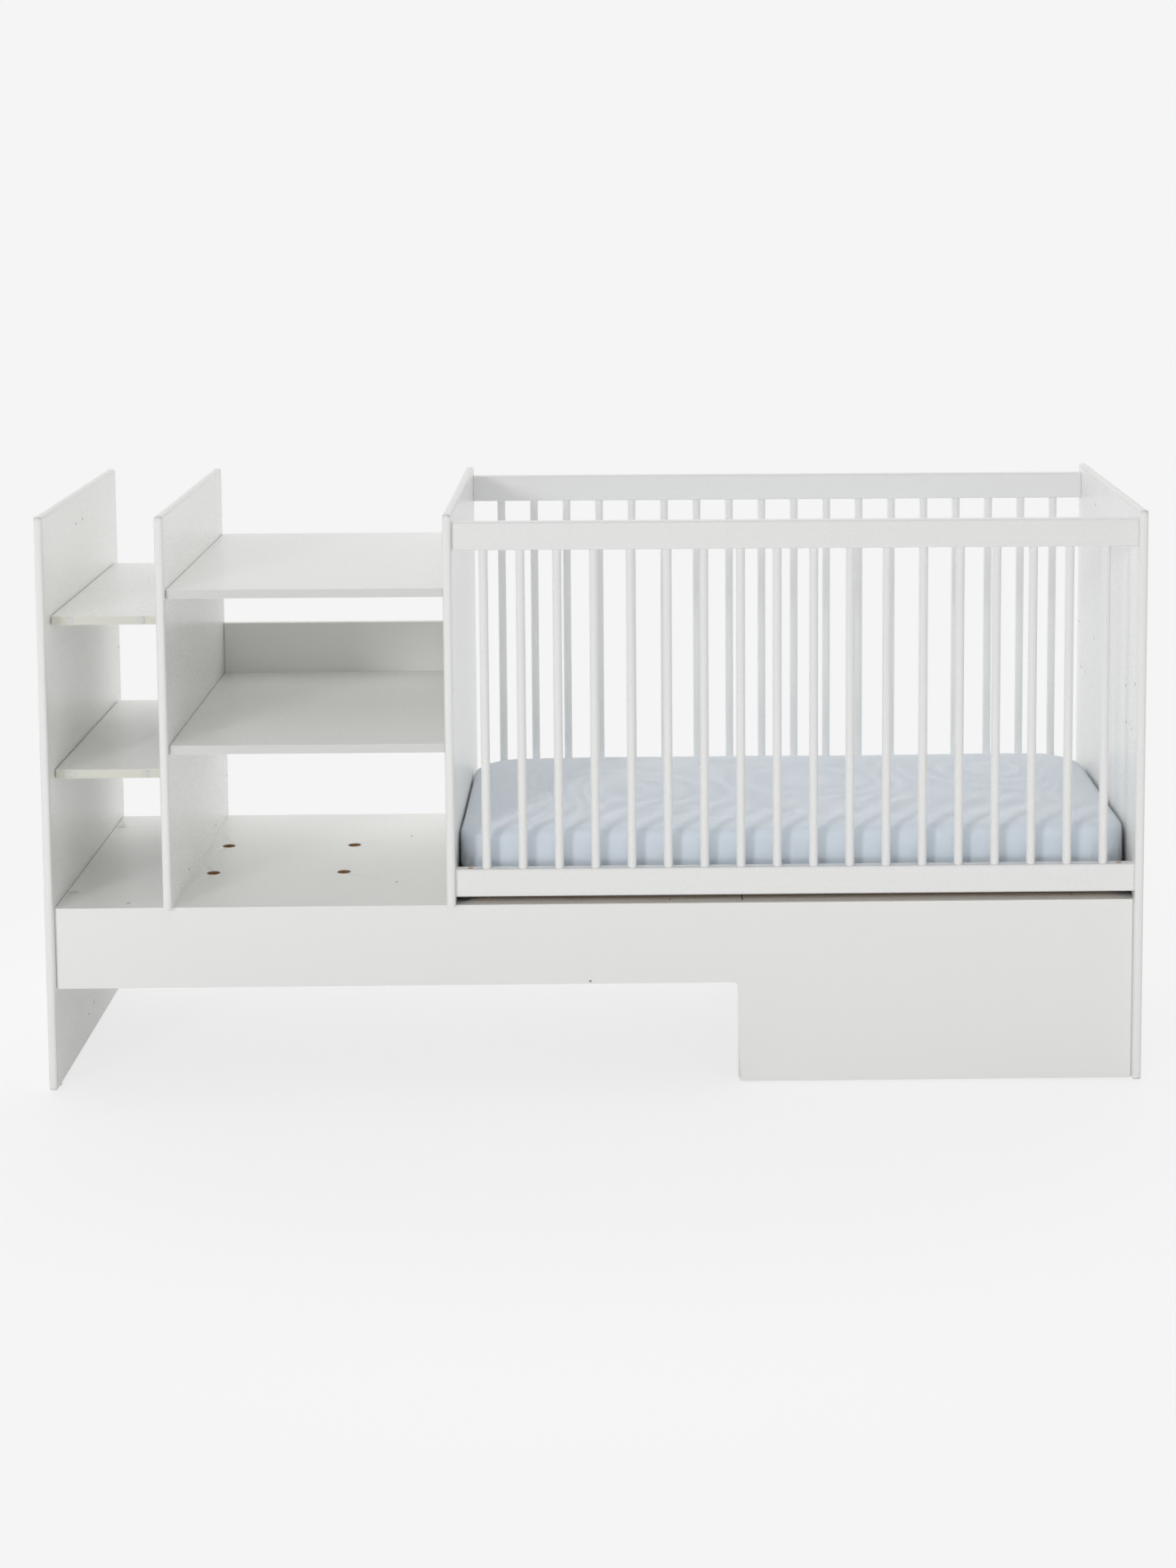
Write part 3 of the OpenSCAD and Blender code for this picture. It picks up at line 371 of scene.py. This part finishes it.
def softwood(name, stretch, light, dark, roughness):
    """Planed wood: growth rings drawn out along the grain, with fine pores."""
    material, tree, shader = blank(name)
    place = object_place(tree, stretch)
    rings = tree.nodes.new("ShaderNodeTexWave")
    rings.wave_type = "RINGS"
    rings.inputs["Scale"].default_value = 1.6
    rings.inputs["Distortion"].default_value = 5.0
    rings.inputs["Detail"].default_value = 3.0
    rings.inputs["Detail Scale"].default_value = 1.4
    tree.links.new(place, rings.inputs["Vector"])
    pores = noise_node(tree, object_place(tree, tuple(s * 14 for s in stretch)), 1.0, 5.0, 0.65)
    late = ramp(tree, rings.outputs["Fac"], 0.25, 0.95)
    wood = mix_colour(tree, late, light, dark)
    tree.links.new(mix_colour(tree, ramp(tree, pores, 0.45, 0.75, 0, 0.5), wood,
                              tuple(c * 0.72 for c in dark)), shader.inputs["Base Color"])
    tree.links.new(ramp(tree, pores, 0.3, 0.7, roughness - 0.06, roughness + 0.06),
                   shader.inputs["Roughness"])
    tree.links.new(bump(tree, pores, 0.0002, 0.6), shader.inputs["Normal"])
    return material


def plastic(name, colour, roughness, grain):
    """Moulded plastic with a fine eroded grain."""
    material, tree, shader = blank(name, Specular_IOR_Level=0.45)
    place = object_place(tree)
    fine = noise_node(tree, place, 1500, 2.0)
    tone = ramp(tree, noise_node(tree, place, 60, 3.0), 0.3, 0.7, 0.0, 1.0)
    darker = tuple(c * 0.9 for c in colour)
    tree.links.new(mix_colour(tree, tone, colour, darker), shader.inputs["Base Color"])
    tree.links.new(ramp(tree, fine, 0.3, 0.7, roughness - 0.05, roughness + 0.05),
                   shader.inputs["Roughness"])
    tree.links.new(bump(tree, fine, grain, 0.6), shader.inputs["Normal"])
    return material


def zinc(name):
    """Zinc-plated steel: bright, with fine turning marks and a slight bloom."""
    material, tree, shader = blank(name, Metallic=1.0)
    place = object_place(tree, (1400, 60, 60))
    marks = noise_node(tree, place, 1.0, 3.0)
    bloom = noise_node(tree, object_place(tree), 180, 4.0)
    tree.links.new(mix_colour(tree, bloom, ZINC_BRIGHT, ZINC_DULL), shader.inputs["Base Color"])
    tree.links.new(ramp(tree, bloom, 0.3, 0.7, 0.24, 0.42), shader.inputs["Roughness"])
    tree.links.new(bump(tree, marks, 0.00006, 0.6), shader.inputs["Normal"])
    return material


KNIT_PITCH = 1.1 * MM
CHECK_PITCH = 3.2 * MM


def weave(tree, pitch):
    """Height of a knitted or woven face with threads pitch apart along X, Y and Z."""
    turns = 2 * math.pi / pitch
    split = tree.nodes.new("ShaderNodeSeparateXYZ")
    tree.links.new(object_place(tree, (turns, turns, turns)), split.inputs[0])
    waves = [math_node(tree, "SINE", split.outputs[axis]) for axis in "XYZ"]
    over = math_node(tree, "MULTIPLY", waves[0], waves[1])
    across = math_node(tree, "ADD", over, math_node(tree, "MULTIPLY", waves[2], waves[0]))
    return math_node(tree, "ADD", across, math_node(tree, "MULTIPLY", waves[1], waves[2]))


def jersey(name):
    """Light-blue cotton jersey: fine knit, a soft fuzz, and slightly uneven dye."""
    material, tree, shader = blank(name, Sheen_Weight=1.0, Sheen_Roughness=0.3,
                                   Specular_IOR_Level=0.15)
    place = object_place(tree)
    dye = ramp(tree, noise_node(tree, place, 5.5, 4.0), 0.3, 0.7)
    melange = ramp(tree, noise_node(tree, object_place(tree, (900, 260, 260)), 1.0, 3.0), 0.35, 0.7)
    blue = mix_colour(tree, dye, SHEET_BLUE, SHEET_BLUE_DEEP)
    tree.links.new(mix_colour(tree, math_node(tree, "MULTIPLY", melange, 0.35), blue,
                              SHEET_PALE), shader.inputs["Base Color"])
    tree.links.new(ramp(tree, melange, 0, 1, 0.78, 0.92), shader.inputs["Roughness"])
    knit = bump(tree, weave(tree, KNIT_PITCH), 0.00012, 0.5)
    tree.links.new(bump(tree, noise_node(tree, place, 700, 3.0), 0.0003, 0.5, knit),
                   shader.inputs["Normal"])
    return material


def ticking(name):
    """Off-white mattress ticking with a small woven check."""
    material, tree, shader = blank(name, Sheen_Weight=0.2, Specular_IOR_Level=0.2)
    place = object_place(tree)
    check = weave(tree, CHECK_PITCH)
    tone = ramp(tree, check, -1, 1)
    tree.links.new(mix_colour(tree, tone, TICK_LIGHT, TICK_DARK), shader.inputs["Base Color"])
    tree.links.new(ramp(tree, noise_node(tree, place, 300, 3.0), 0.3, 0.7, 0.75, 0.9),
                   shader.inputs["Roughness"])
    tree.links.new(bump(tree, check, 0.0003, 0.6), shader.inputs["Normal"])
    return material


ALONG_X, ALONG_Z = (5, 160, 160), (160, 160, 5)   # the lacquer's grain along a rail or a bar
RING_ALONG, RING_ACROSS = 1.2, 26


def wood_stretch(axis):
    """Stretch that draws the growth rings out along one axis."""
    return tuple(RING_ALONG if a == axis else RING_ACROSS for a in "XYZ")


def make_materials():
    """Every finish by its short name."""
    return {
        "board": melamine("white_melamine"),
        "edge": melamine("cream_edge", CREAM, tuple(c * 0.96 for c in CREAM)),
        # The changer boards' edge band is partly painted shade: darker than its own tone, for the
        # weaker light high on the front
        "band": melamine("edge_band_and_shade", BAND_AND_SHADE, tuple(c * 0.97 for c in BAND_AND_SHADE)),
        "core": chipboard("chipboard_core"),
        "lacquer_x": lacquer("white_lacquer_rail", ALONG_X),
        "lacquer_z": lacquer("white_lacquer_bar", ALONG_Z),
        "pine_x": softwood("pine_long", wood_stretch("X"), PINE_LIGHT, PINE_DARK, 0.55),
        "pine_y": softwood("pine_cross", wood_stretch("Y"), PINE_LIGHT, PINE_DARK, 0.55),
        "beech": softwood("beech", wood_stretch("X"), BEECH_LIGHT, BEECH_DARK, 0.6),
        "black": plastic("black_plastic", BLACK_PLASTIC, 0.5, 0.1 * MM),
        "plastic": plastic("white_plastic", WHITE_PLASTIC, 0.35, 0.04 * MM),
        "zinc": zinc("zinc_steel"),
        "jersey": jersey("blue_jersey"),
        "ticking": ticking("mattress_ticking"),
    }


# ---- Pieces in mesh code ----

def new_piece(name, mesh, body, slot, *stands_for):
    """Adds a mesh as a piece that rides on a body and may stand for CAD nodes."""
    piece = bpy.data.objects.new(name, mesh)
    bpy.context.scene.collection.objects.link(piece)
    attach(piece, body)
    if stands_for:
        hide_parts(*stands_for)
    return piece


def evaluated(piece):
    """The piece's mesh with its modifiers applied, as a new mesh."""
    graph = bpy.context.evaluated_depsgraph_get()
    return bpy.data.meshes.new_from_object(piece.evaluated_get(graph), depsgraph=graph)


def inside(point, low, high, margin):
    """Whether a point lies deeper in a box than margin, which has one depth for each axis."""
    return all(l + m < c < h - m for c, l, h, m in zip(point, low, high, margin))


WIDE_ROUND = 2 * MM               # roundings above this get more steps
WIDE_STEPS, FINE_STEPS = 5, 2


def rounded_board(outline, low_y, high_y, rounding):
    """A board with this outline (x, z corners), its edges rounded by what rounding(edge) says."""
    work = bmesh.new()
    front, back = ([work.verts.new((x, y, z)) for x, z in outline] for y in (low_y, high_y))
    work.faces.new(front)
    work.faces.new(list(reversed(back)))
    for i in range(len(outline)):
        j = (i + 1) % len(outline)
        work.faces.new((front[j], front[i], back[i], back[j]))
    bmesh.ops.recalc_face_normals(work, faces=work.faces)
    groups = {}
    for edge in work.edges:
        groups.setdefault(rounding(edge), []).append(edge)
    for size, edges in sorted(groups.items(), reverse=True):
        if size > 0:
            steps = WIDE_STEPS if size > WIDE_ROUND else FINE_STEPS
            bmesh.ops.bevel(work, geom=[e for e in edges if e.is_valid], offset=size,
                            offset_type="OFFSET", segments=steps, profile=0.5, affect="EDGES",
                            clamp_overlap=False, material=-1)
    mesh = bpy.data.meshes.new("board")
    work.to_mesh(mesh)
    work.free()
    return mesh


def cut_to(node, shape):
    """A copy of a CAD node's mesh, cut to what lies inside the closed mesh shape."""
    work = bmesh.new()
    work.from_mesh(NODES[node].data)
    bmesh.ops.remove_doubles(work, verts=work.verts, dist=MERGE)
    mesh = bpy.data.meshes.new("copy")
    work.to_mesh(mesh)
    work.free()
    if shape is None:
        return mesh
    piece, cutter = bpy.data.objects.new("copy", mesh), bpy.data.objects.new("cutter", shape)
    bpy.context.scene.collection.objects.link(piece)
    bpy.context.scene.collection.objects.link(cutter)
    cut = piece.modifiers.new("cut", "BOOLEAN")
    cut.operation = "INTERSECT"
    cut.solver = "EXACT"
    cut.object = cutter
    mesh = evaluated(piece)
    bpy.data.objects.remove(piece)
    bpy.data.objects.remove(cutter)
    return mesh


def finished_copy(node, regions, margin, materials, slot, shape=None, edge_test=None):
    """A softened copy of a CAD board or rail, which it stands for.

    regions are the boxes that make up the board; a face deeper in one than margin is the wall
    of a drilled hole and gets the second material. edge_test(face) picks the faces that get
    the third material. shape is the rounded board that the copy is cut to.
    """
    mesh = cut_to(node, shape)
    mesh.name = node + "_finished"
    mesh.materials.clear()
    for material in materials:
        mesh.materials.append(material)
    for face in mesh.polygons:
        drilled = any(inside(face.center, low, high, margin) for low, high in regions)
        face.material_index = 1 if drilled else 2 if edge_test and edge_test(face) else 0
    mesh.shade_smooth()
    mesh.set_sharp_from_angle(angle=SHARP)
    piece = new_piece(node + "_finished", mesh, BODY_OF[node], slot, node)
    even_normals(piece)
    return piece


def even_normals(piece):
    """Big flat faces stay flat in the shading where they run into rounded edges."""
    modifier = piece.modifiers.new("even_normals", "WEIGHTED_NORMAL")
    modifier.weight = 100
    modifier.keep_sharp = True


GROW = 0.02 * MM                  # the cutting shape stands this far outside the board's faces
END_GAP = 0.9 * MM                # dark joint between a board's end and the panel beside it
SHELF_GAP = 0.4 * MM
PANELS = ("left_end_panel", "divider_panel", "crib_left_panel", "right_end_panel")
# Boards and the gaps at their ends
PLAIN_BOARDS = {"rear_plinth": END_GAP, "base_cross_rail": 0.0, "changer_base_board": END_GAP,
                "crib_base_board": END_GAP, "shelf_back_rail": END_GAP}
# Boards whose front edge has a finish of its own; the changer boards' band also carries painted shade
BANDED = {"changer_top": ("band", END_GAP), "changer_shelf": ("band", END_GAP),
          "upper_small_shelf": ("edge", SHELF_GAP), "lower_small_shelf": ("edge", SHELF_GAP)}
RAILS = ("front_top_rail", "front_low_rail", "rear_top_rail", "rear_low_rail")
BOARD_EDGE = 0.6 * MM
BOARD_END = 0.2 * MM
BASE_EDGE = 0.3 * MM              # the base boards' edges and the front plinth's top ones
SKIN = 0.8 * MM                   # a face deeper than this is the wall of a drilled hole
DEEP_SKIN = 7 * MM                # the same where the edges have wide roundings
RAIL_SKIN = 2 * MM
PANEL_MARGIN = (SKIN, DEEP_SKIN, DEEP_SKIN)
PLINTH_MARGIN = (DEEP_SKIN, SKIN, DEEP_SKIN)
RAIL_MARGIN = (SKIN, RAIL_SKIN, RAIL_SKIN)
FACES_FRONT = -0.99               # a face's normal along Y
PLINTH_EDGE = 6.5 * MM            # the front plinth's long edges, but for the top ones
PLINTH_END = 3.8 * MM
RAIL_END = 1.3 * MM
RAIL_EDGE = 0.7 * MM
STEP_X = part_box("base_cross_rail")[0].x
STEP_CORNER = 10 * MM             # the step's bottom corner and its inner one
BEAM_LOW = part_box("rear_plinth")[0].z
END_REACH = 2 * MM                # an edge this close to a board's end belongs to it


def at_end(edge, low, high):
    """Whether an edge lies in one of the two ends of a board that runs along X."""
    along = [v.co.x for v in edge.verts]
    return max(along) < low.x + END_REACH or min(along) > high.x - END_REACH


def soft_box(low, high, gap, long_edge, end_edge):
    """A rounded board as large as a box, but for the gaps at its two ends."""
    outline = [(low.x + gap - GROW, low.z - GROW), (high.x - gap + GROW, low.z - GROW),
               (high.x - gap + GROW, high.z + GROW), (low.x + gap - GROW, high.z + GROW)]
    return rounded_board(outline, low.y - GROW, high.y + GROW,
                         lambda edge: end_edge if at_end(edge, low, high) else long_edge)


def make_boards(mat):
    """Softened copies of every board and rail."""
    board, core = mat["board"], mat["core"]
    for node in PANELS:
        finished_copy(node, [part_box(node)], PANEL_MARGIN, (board, core), "white_board")
    for node, gap in PLAIN_BOARDS.items():
        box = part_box(node)
        long_edge = BASE_EDGE if "base_board" in node else BOARD_EDGE
        finished_copy(node, [box], (SKIN,) * 3, (board, core), "white_board",
                      soft_box(*box, gap, long_edge, BOARD_END))
    for node, (edge_finish, gap) in BANDED.items():
        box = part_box(node)
        finished_copy(node, [box], (SKIN,) * 3, (board, core, mat[edge_finish]), "white_board",
                      soft_box(*box, gap, BOARD_EDGE, BOARD_END),
                      lambda face: face.normal.y < FACES_FRONT
                      and face.center.y < box[0].y + SKIN)
    low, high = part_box("front_plinth")
    beam = (Vector((low.x, low.y, BEAM_LOW)), high)
    deep = (Vector((STEP_X, low.y, low.z)), high)

    def plinth_rounding(edge):
        first, second = (v.co for v in edge.verts)
        if min(first.z, second.z) > high.z - MM:
            return BASE_EDGE
        if abs(first.y - second.y) > MM and abs(first.x - STEP_X) < MM:
            return STEP_CORNER
        return PLINTH_END if at_end(edge, low, high) else PLINTH_EDGE

    outline = [(low.x - GROW, BEAM_LOW - GROW), (STEP_X - GROW, BEAM_LOW - GROW),
               (STEP_X - GROW, low.z - GROW), (high.x + GROW, low.z - GROW),
               (high.x + GROW, high.z + GROW), (low.x - GROW, high.z + GROW)]
    finished_copy("front_plinth", [beam, deep], PLINTH_MARGIN, (board, core), "white_board",
                  rounded_board(outline, low.y - GROW, high.y + GROW, plinth_rounding))
    for node in RAILS:
        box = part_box(node)
        finished_copy(node, [box], RAIL_MARGIN, (mat["lacquer_x"], mat["pine_x"]),
                      "white_lacquer", soft_box(*box, 0.0, RAIL_EDGE, RAIL_END))


# ---- Mattress and fitted sheet ----

PAD_LOW, PAD_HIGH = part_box("mattress")
PAD_HALF = (PAD_HIGH - PAD_LOW) / 2
PAD_MIDDLE = (PAD_LOW + PAD_HIGH) / 2
PLAN_RADIUS = 78 * MM             # corners of the mattress seen from above
EDGE_RADIUS = 11 * MM
START_SHRINK = 4 * MM   # the block starts this much smaller and swells
SWELL_CAP = 3.8 * MM
VOXEL = 8 * MM
CORNER_STEPS, EDGE_STEPS = 18, 8
PRESSURE = 4.0
SIM_FRAMES = 20
SHIFT_X = -0.5 * MM               # the mattress lies a little nearer to the crib's left panel
OVER_X, OVER_Y = 6 * MM, 1 * MM   # the swollen block's half size beside that of the CAD mattress
SAG = 1.0 * MM                    # unevenness all over the top
RISE_FROM, RISE_TO, RISE_POINTS = -0.2, 1.2, 281
RISE_SMOOTHING = 17               # points, an odd number
# Rise of the top along the length: (share of the length, millimetres)
TOP_RISE = ((0, -5), (0.05, -1), (0.12, 1.5), (0.22, 3.0), (0.32, 2.0), (0.45, 1.4), (0.6, 1.6),
            (0.75, 3.0), (0.88, 4.0), (0.95, 2.4), (1, -3))


def rounded_outline(half_x, half_y, radius):
    """Points of a rounded rectangle about the origin, anticlockwise."""
    points = []
    for quarter, (sx, sy) in enumerate(((1, 1), (-1, 1), (-1, -1), (1, -1))):
        for i in range(CORNER_STEPS + 1):
            angle = math.pi / 2 * (quarter + i / CORNER_STEPS)
            points.append((sx * (half_x - radius) + radius * math.cos(angle),
                           sy * (half_y - radius) + radius * math.sin(angle)))
    return points


def block_mesh():
    """The mattress as a closed block with rounded corners and edges."""
    half = PAD_HALF - Vector((START_SHRINK,) * 3)
    middle = PAD_MIDDLE
    levels = [(math.sin(a), math.cos(a)) for a in
              (math.pi / 2 * i / EDGE_STEPS for i in range(EDGE_STEPS + 1))]
    rings = []
    for out, drop in levels:
        rings.append((EDGE_RADIUS * (1 - out), -half.z + EDGE_RADIUS * (1 - drop)))
    rings += [(inset, -z) for inset, z in reversed(rings)]
    work = bmesh.new()
    loops = []
    for inset, z in rings:
        outline = rounded_outline(half.x - inset, half.y - inset, PLAN_RADIUS - inset)
        loops.append([work.verts.new((middle.x + x, middle.y + y, middle.z + z))
                      for x, y in outline])
    count = len(loops[0])
    for lower, upper in zip(loops, loops[1:]):
        for i in range(count):
            j = (i + 1) % count
            work.faces.new((lower[i], lower[j], upper[j], upper[i]))
    work.faces.new(list(reversed(loops[0])))
    work.faces.new(loops[-1])
    mesh = bpy.data.meshes.new("block")
    work.to_mesh(mesh)
    work.free()
    return mesh


def vectors_of(items, field):
    """A field with three numbers of every vertex, as rows."""
    values = np.empty(len(items) * 3)
    items.foreach_get(field, values)
    return values.reshape(-1, 3)


def set_points(mesh, co):
    mesh.vertices.foreach_set("co", np.ascontiguousarray(co, dtype=np.float32).ravel())
    mesh.update()


def smooth_step(value):
    share = np.clip(value, 0, 1)
    return share * share * (3 - 2 * share)


def swollen_block():
    """The block remeshed evenly and blown up a little as cloth, so that its faces crown."""
    piece = bpy.data.objects.new("block", block_mesh())
    bpy.context.scene.collection.objects.link(piece)
    remesh = piece.modifiers.new("remesh", "REMESH")
    remesh.mode = "VOXEL"
    remesh.voxel_size = VOXEL
    piece.data = evaluated(piece)
    piece.modifiers.clear()
    start = vectors_of(piece.data.vertices, "co")
    cloth = piece.modifiers.new("cloth", "CLOTH")
    cloth.settings.use_pressure = True
    cloth.settings.uniform_pressure_force = PRESSURE
    cloth.settings.effector_weights.gravity = 0
    scene = bpy.context.scene
    for step in range(1, SIM_FRAMES + 1):
        scene.frame_set(step)
    moved = vectors_of(evaluated(piece).vertices, "co") - start
    piece.modifiers.clear()
    scene.frame_set(1)
    far = np.linalg.norm(moved, axis=1, keepdims=True)
    start += moved * np.minimum(1, SWELL_CAP / np.maximum(far, 1e-9))
    set_points(piece.data, settled(start))
    mesh = piece.data
    bpy.data.objects.remove(piece)
    return mesh


def settled(co):
    """Lays the block on the slats at its size, and lets its top rise and sag a little."""
    low, high = co.min(axis=0), co.max(axis=0)
    half = np.array(PAD_HALF) + (OVER_X, OVER_Y, 0)
    co = np.array(PAD_MIDDLE) + (co - (low + high) / 2) * half * 2 / (high - low)
    x, y, z = co.T
    share = (x - PAD_LOW.x) / (PAD_HIGH.x - PAD_LOW.x)
    grid = np.linspace(RISE_FROM, RISE_TO, RISE_POINTS)
    rise = np.interp(grid, *zip(*TOP_RISE))
    window = np.hanning(RISE_SMOOTHING)
    rise = np.pad(rise, RISE_SMOOTHING // 2, "edge")
    rise = np.convolve(rise, window / window.sum(), "valid") * MM
    sag = SAG * np.sin(9.1 * x + 4.0 * y + 0.7) * np.sin(12.0 * y - 3.1 * x + 2.1)
    at_top = smooth_step((z - PAD_MIDDLE.z) / PAD_HALF.z)
    z = z + at_top * (np.interp(share, grid, rise) + sag)
    return np.stack((x + SHIFT_X, y, np.maximum(z, PAD_LOW.z)), axis=1)


QUILT = 90 * MM                   # spacing of the quilting lines under the mattress
QUILT_DEEP = 2.5 * MM


def make_mattress(mat, block):
    """The mattress, with quilting lines pressed into its underside."""
    mesh = block.copy()
    mesh.name = "mattress_pad"
    co = vectors_of(mesh.vertices, "co")
    x, y, z = co.T
    line = np.minimum(abs(np.sin(math.pi * (x + y) / QUILT)), abs(np.sin(math.pi * (x - y) / QUILT)))
    under = smooth_step(1 - (z - PAD_LOW.z) / (2 * MM))
    co[:, 2] += under * QUILT_DEEP * (1 - smooth_step(line / 0.5))
    set_points(mesh, co)
    mesh.materials.append(mat["ticking"])
    mesh.shade_smooth()
    pad = new_piece("mattress_pad", mesh, "mattress_body", "mattress_foam", "mattress")
    return pad


HEM_IN = 90 * MM                  # how far the sheet turns in underneath
SHEET_T = 1.2 * MM
UNDER = 4 * MM                    # faces this close to the block's lowest level are its underside
STAND_OFF = 0.3 * MM              # between the mattress and the sheet
TAUT = 0.9 * MM                   # depth of the soft folds down the sides
PUCKER = 2.2 * MM                 # depth of the gathers at the corners
PUCKER_PITCH = 21 * MM


def folds(co):
    """How far the sheet stands off the mattress: folds down its sides, gathers at its corners."""
    x, y, z = co.T
    x, y = x - PAD_MIDDLE.x - SHIFT_X, y - PAD_MIDDLE.y
    height = (z - PAD_LOW.z) / (2 * PAD_HALF.z)
    side = smooth_step(height / 0.12) * smooth_step((0.97 - height) / 0.5)
    along = x + 0.35 * y
    wave = (np.sin(along * 41 + 0.4) + 0.7 * np.sin(along * 67 + 2.0 + 6 * height)
            + 0.5 * np.sin(along * 103 + 4.1 - 5 * height)) / 2.2
    beyond_x = abs(x) - (PAD_HALF.x - PLAN_RADIUS)
    beyond_y = abs(y) - (PAD_HALF.y - PLAN_RADIUS)
    around = np.arctan2(np.maximum(beyond_y, 0), np.maximum(beyond_x, 1e-6)) * PLAN_RADIUS
    at_corner = smooth_step(beyond_x / (40 * MM)) * smooth_step(beyond_y / (40 * MM))
    quarter = 1.3 * (x > 0) + 2.9 * (y > 0)
    gather = np.sin(around * 2 * math.pi / PUCKER_PITCH + quarter + 1.8 * np.sin(9 * height + quarter))
    lower = smooth_step((0.85 - height) / 0.6)
    return side * (TAUT * (0.5 + 0.5 * wave) * (1 - at_corner)
                   + PUCKER * at_corner * lower * (0.5 + 0.5 * gather))


def make_sheet(mat, block):
    """The sheet over the mattress's top and sides, turned in under it round an opening."""
    work = bmesh.new()
    work.from_mesh(block)
    low = min(v.co.z for v in work.verts)
    opening = []
    for face in work.faces:
        middle = face.calc_center_median()
        in_length = abs(middle.x - PAD_MIDDLE.x - SHIFT_X) < PAD_HALF.x - HEM_IN
        in_width = abs(middle.y) < PAD_HALF.y - HEM_IN
        if middle.z < low + UNDER and in_length and in_width:
            opening.append(face)
    bmesh.ops.delete(work, geom=opening, context="FACES")
    mesh = bpy.data.meshes.new("fitted_sheet_cloth")
    work.to_mesh(mesh)
    work.free()
    sheet = bpy.data.objects.new("cut_sheet", mesh)
    bpy.context.scene.collection.objects.link(sheet)
    finer = sheet.modifiers.new("finer", "SUBSURF")
    finer.levels = finer.render_levels = 1
    mesh = evaluated(sheet)
    bpy.data.objects.remove(sheet)
    co = vectors_of(mesh.vertices, "co")
    out = vectors_of(mesh.vertices, "normal")
    set_points(mesh, co + out * (STAND_OFF + folds(co))[:, None])
    mesh.name = "fitted_sheet_cloth"
    mesh.materials.append(mat["jersey"])
    mesh.shade_smooth()
    sheet = new_piece("fitted_sheet_cloth", mesh, "mattress_body", "sheet_cotton",
                      "fitted_sheet")
    thick = sheet.modifiers.new("thick", "SOLIDIFY")
    thick.thickness = SHEET_T
    thick.offset = 1
    return sheet


# ---- CAD nodes that keep their own shape ----

def dress_nodes(mat):
    """Gives each CAD node that still shows its finish."""
    by_slot = {"white_board": "board", "white_lacquer": "lacquer_z", "pine": "pine_x",
               "black_plastic": "black", "beech_dowel": "beech", "steel": "zinc",
               "white_plastic": "plastic"}
    special = {"base_left_member": "pine_y", "base_right_member": "pine_y",
               "base_slats": "pine_y"}
    for name, node in NODES.items():
        if node.hide_render:
            continue
        for holder in node.material_slots:
            slot = holder.material.name.split(".")[0]
            holder.material = mat[special.get(name, by_slot.get(slot, "board"))]


# ---- The scene ----

make_camera()
make_lamps()
make_world()
make_floor()
finishes = make_materials()
make_boards(finishes)
body_block = swollen_block()
mattress_pad = make_mattress(finishes, body_block)
make_sheet(finishes, body_block)
dress_nodes(finishes)

bpy.context.scene.view_settings.view_transform = "Standard"
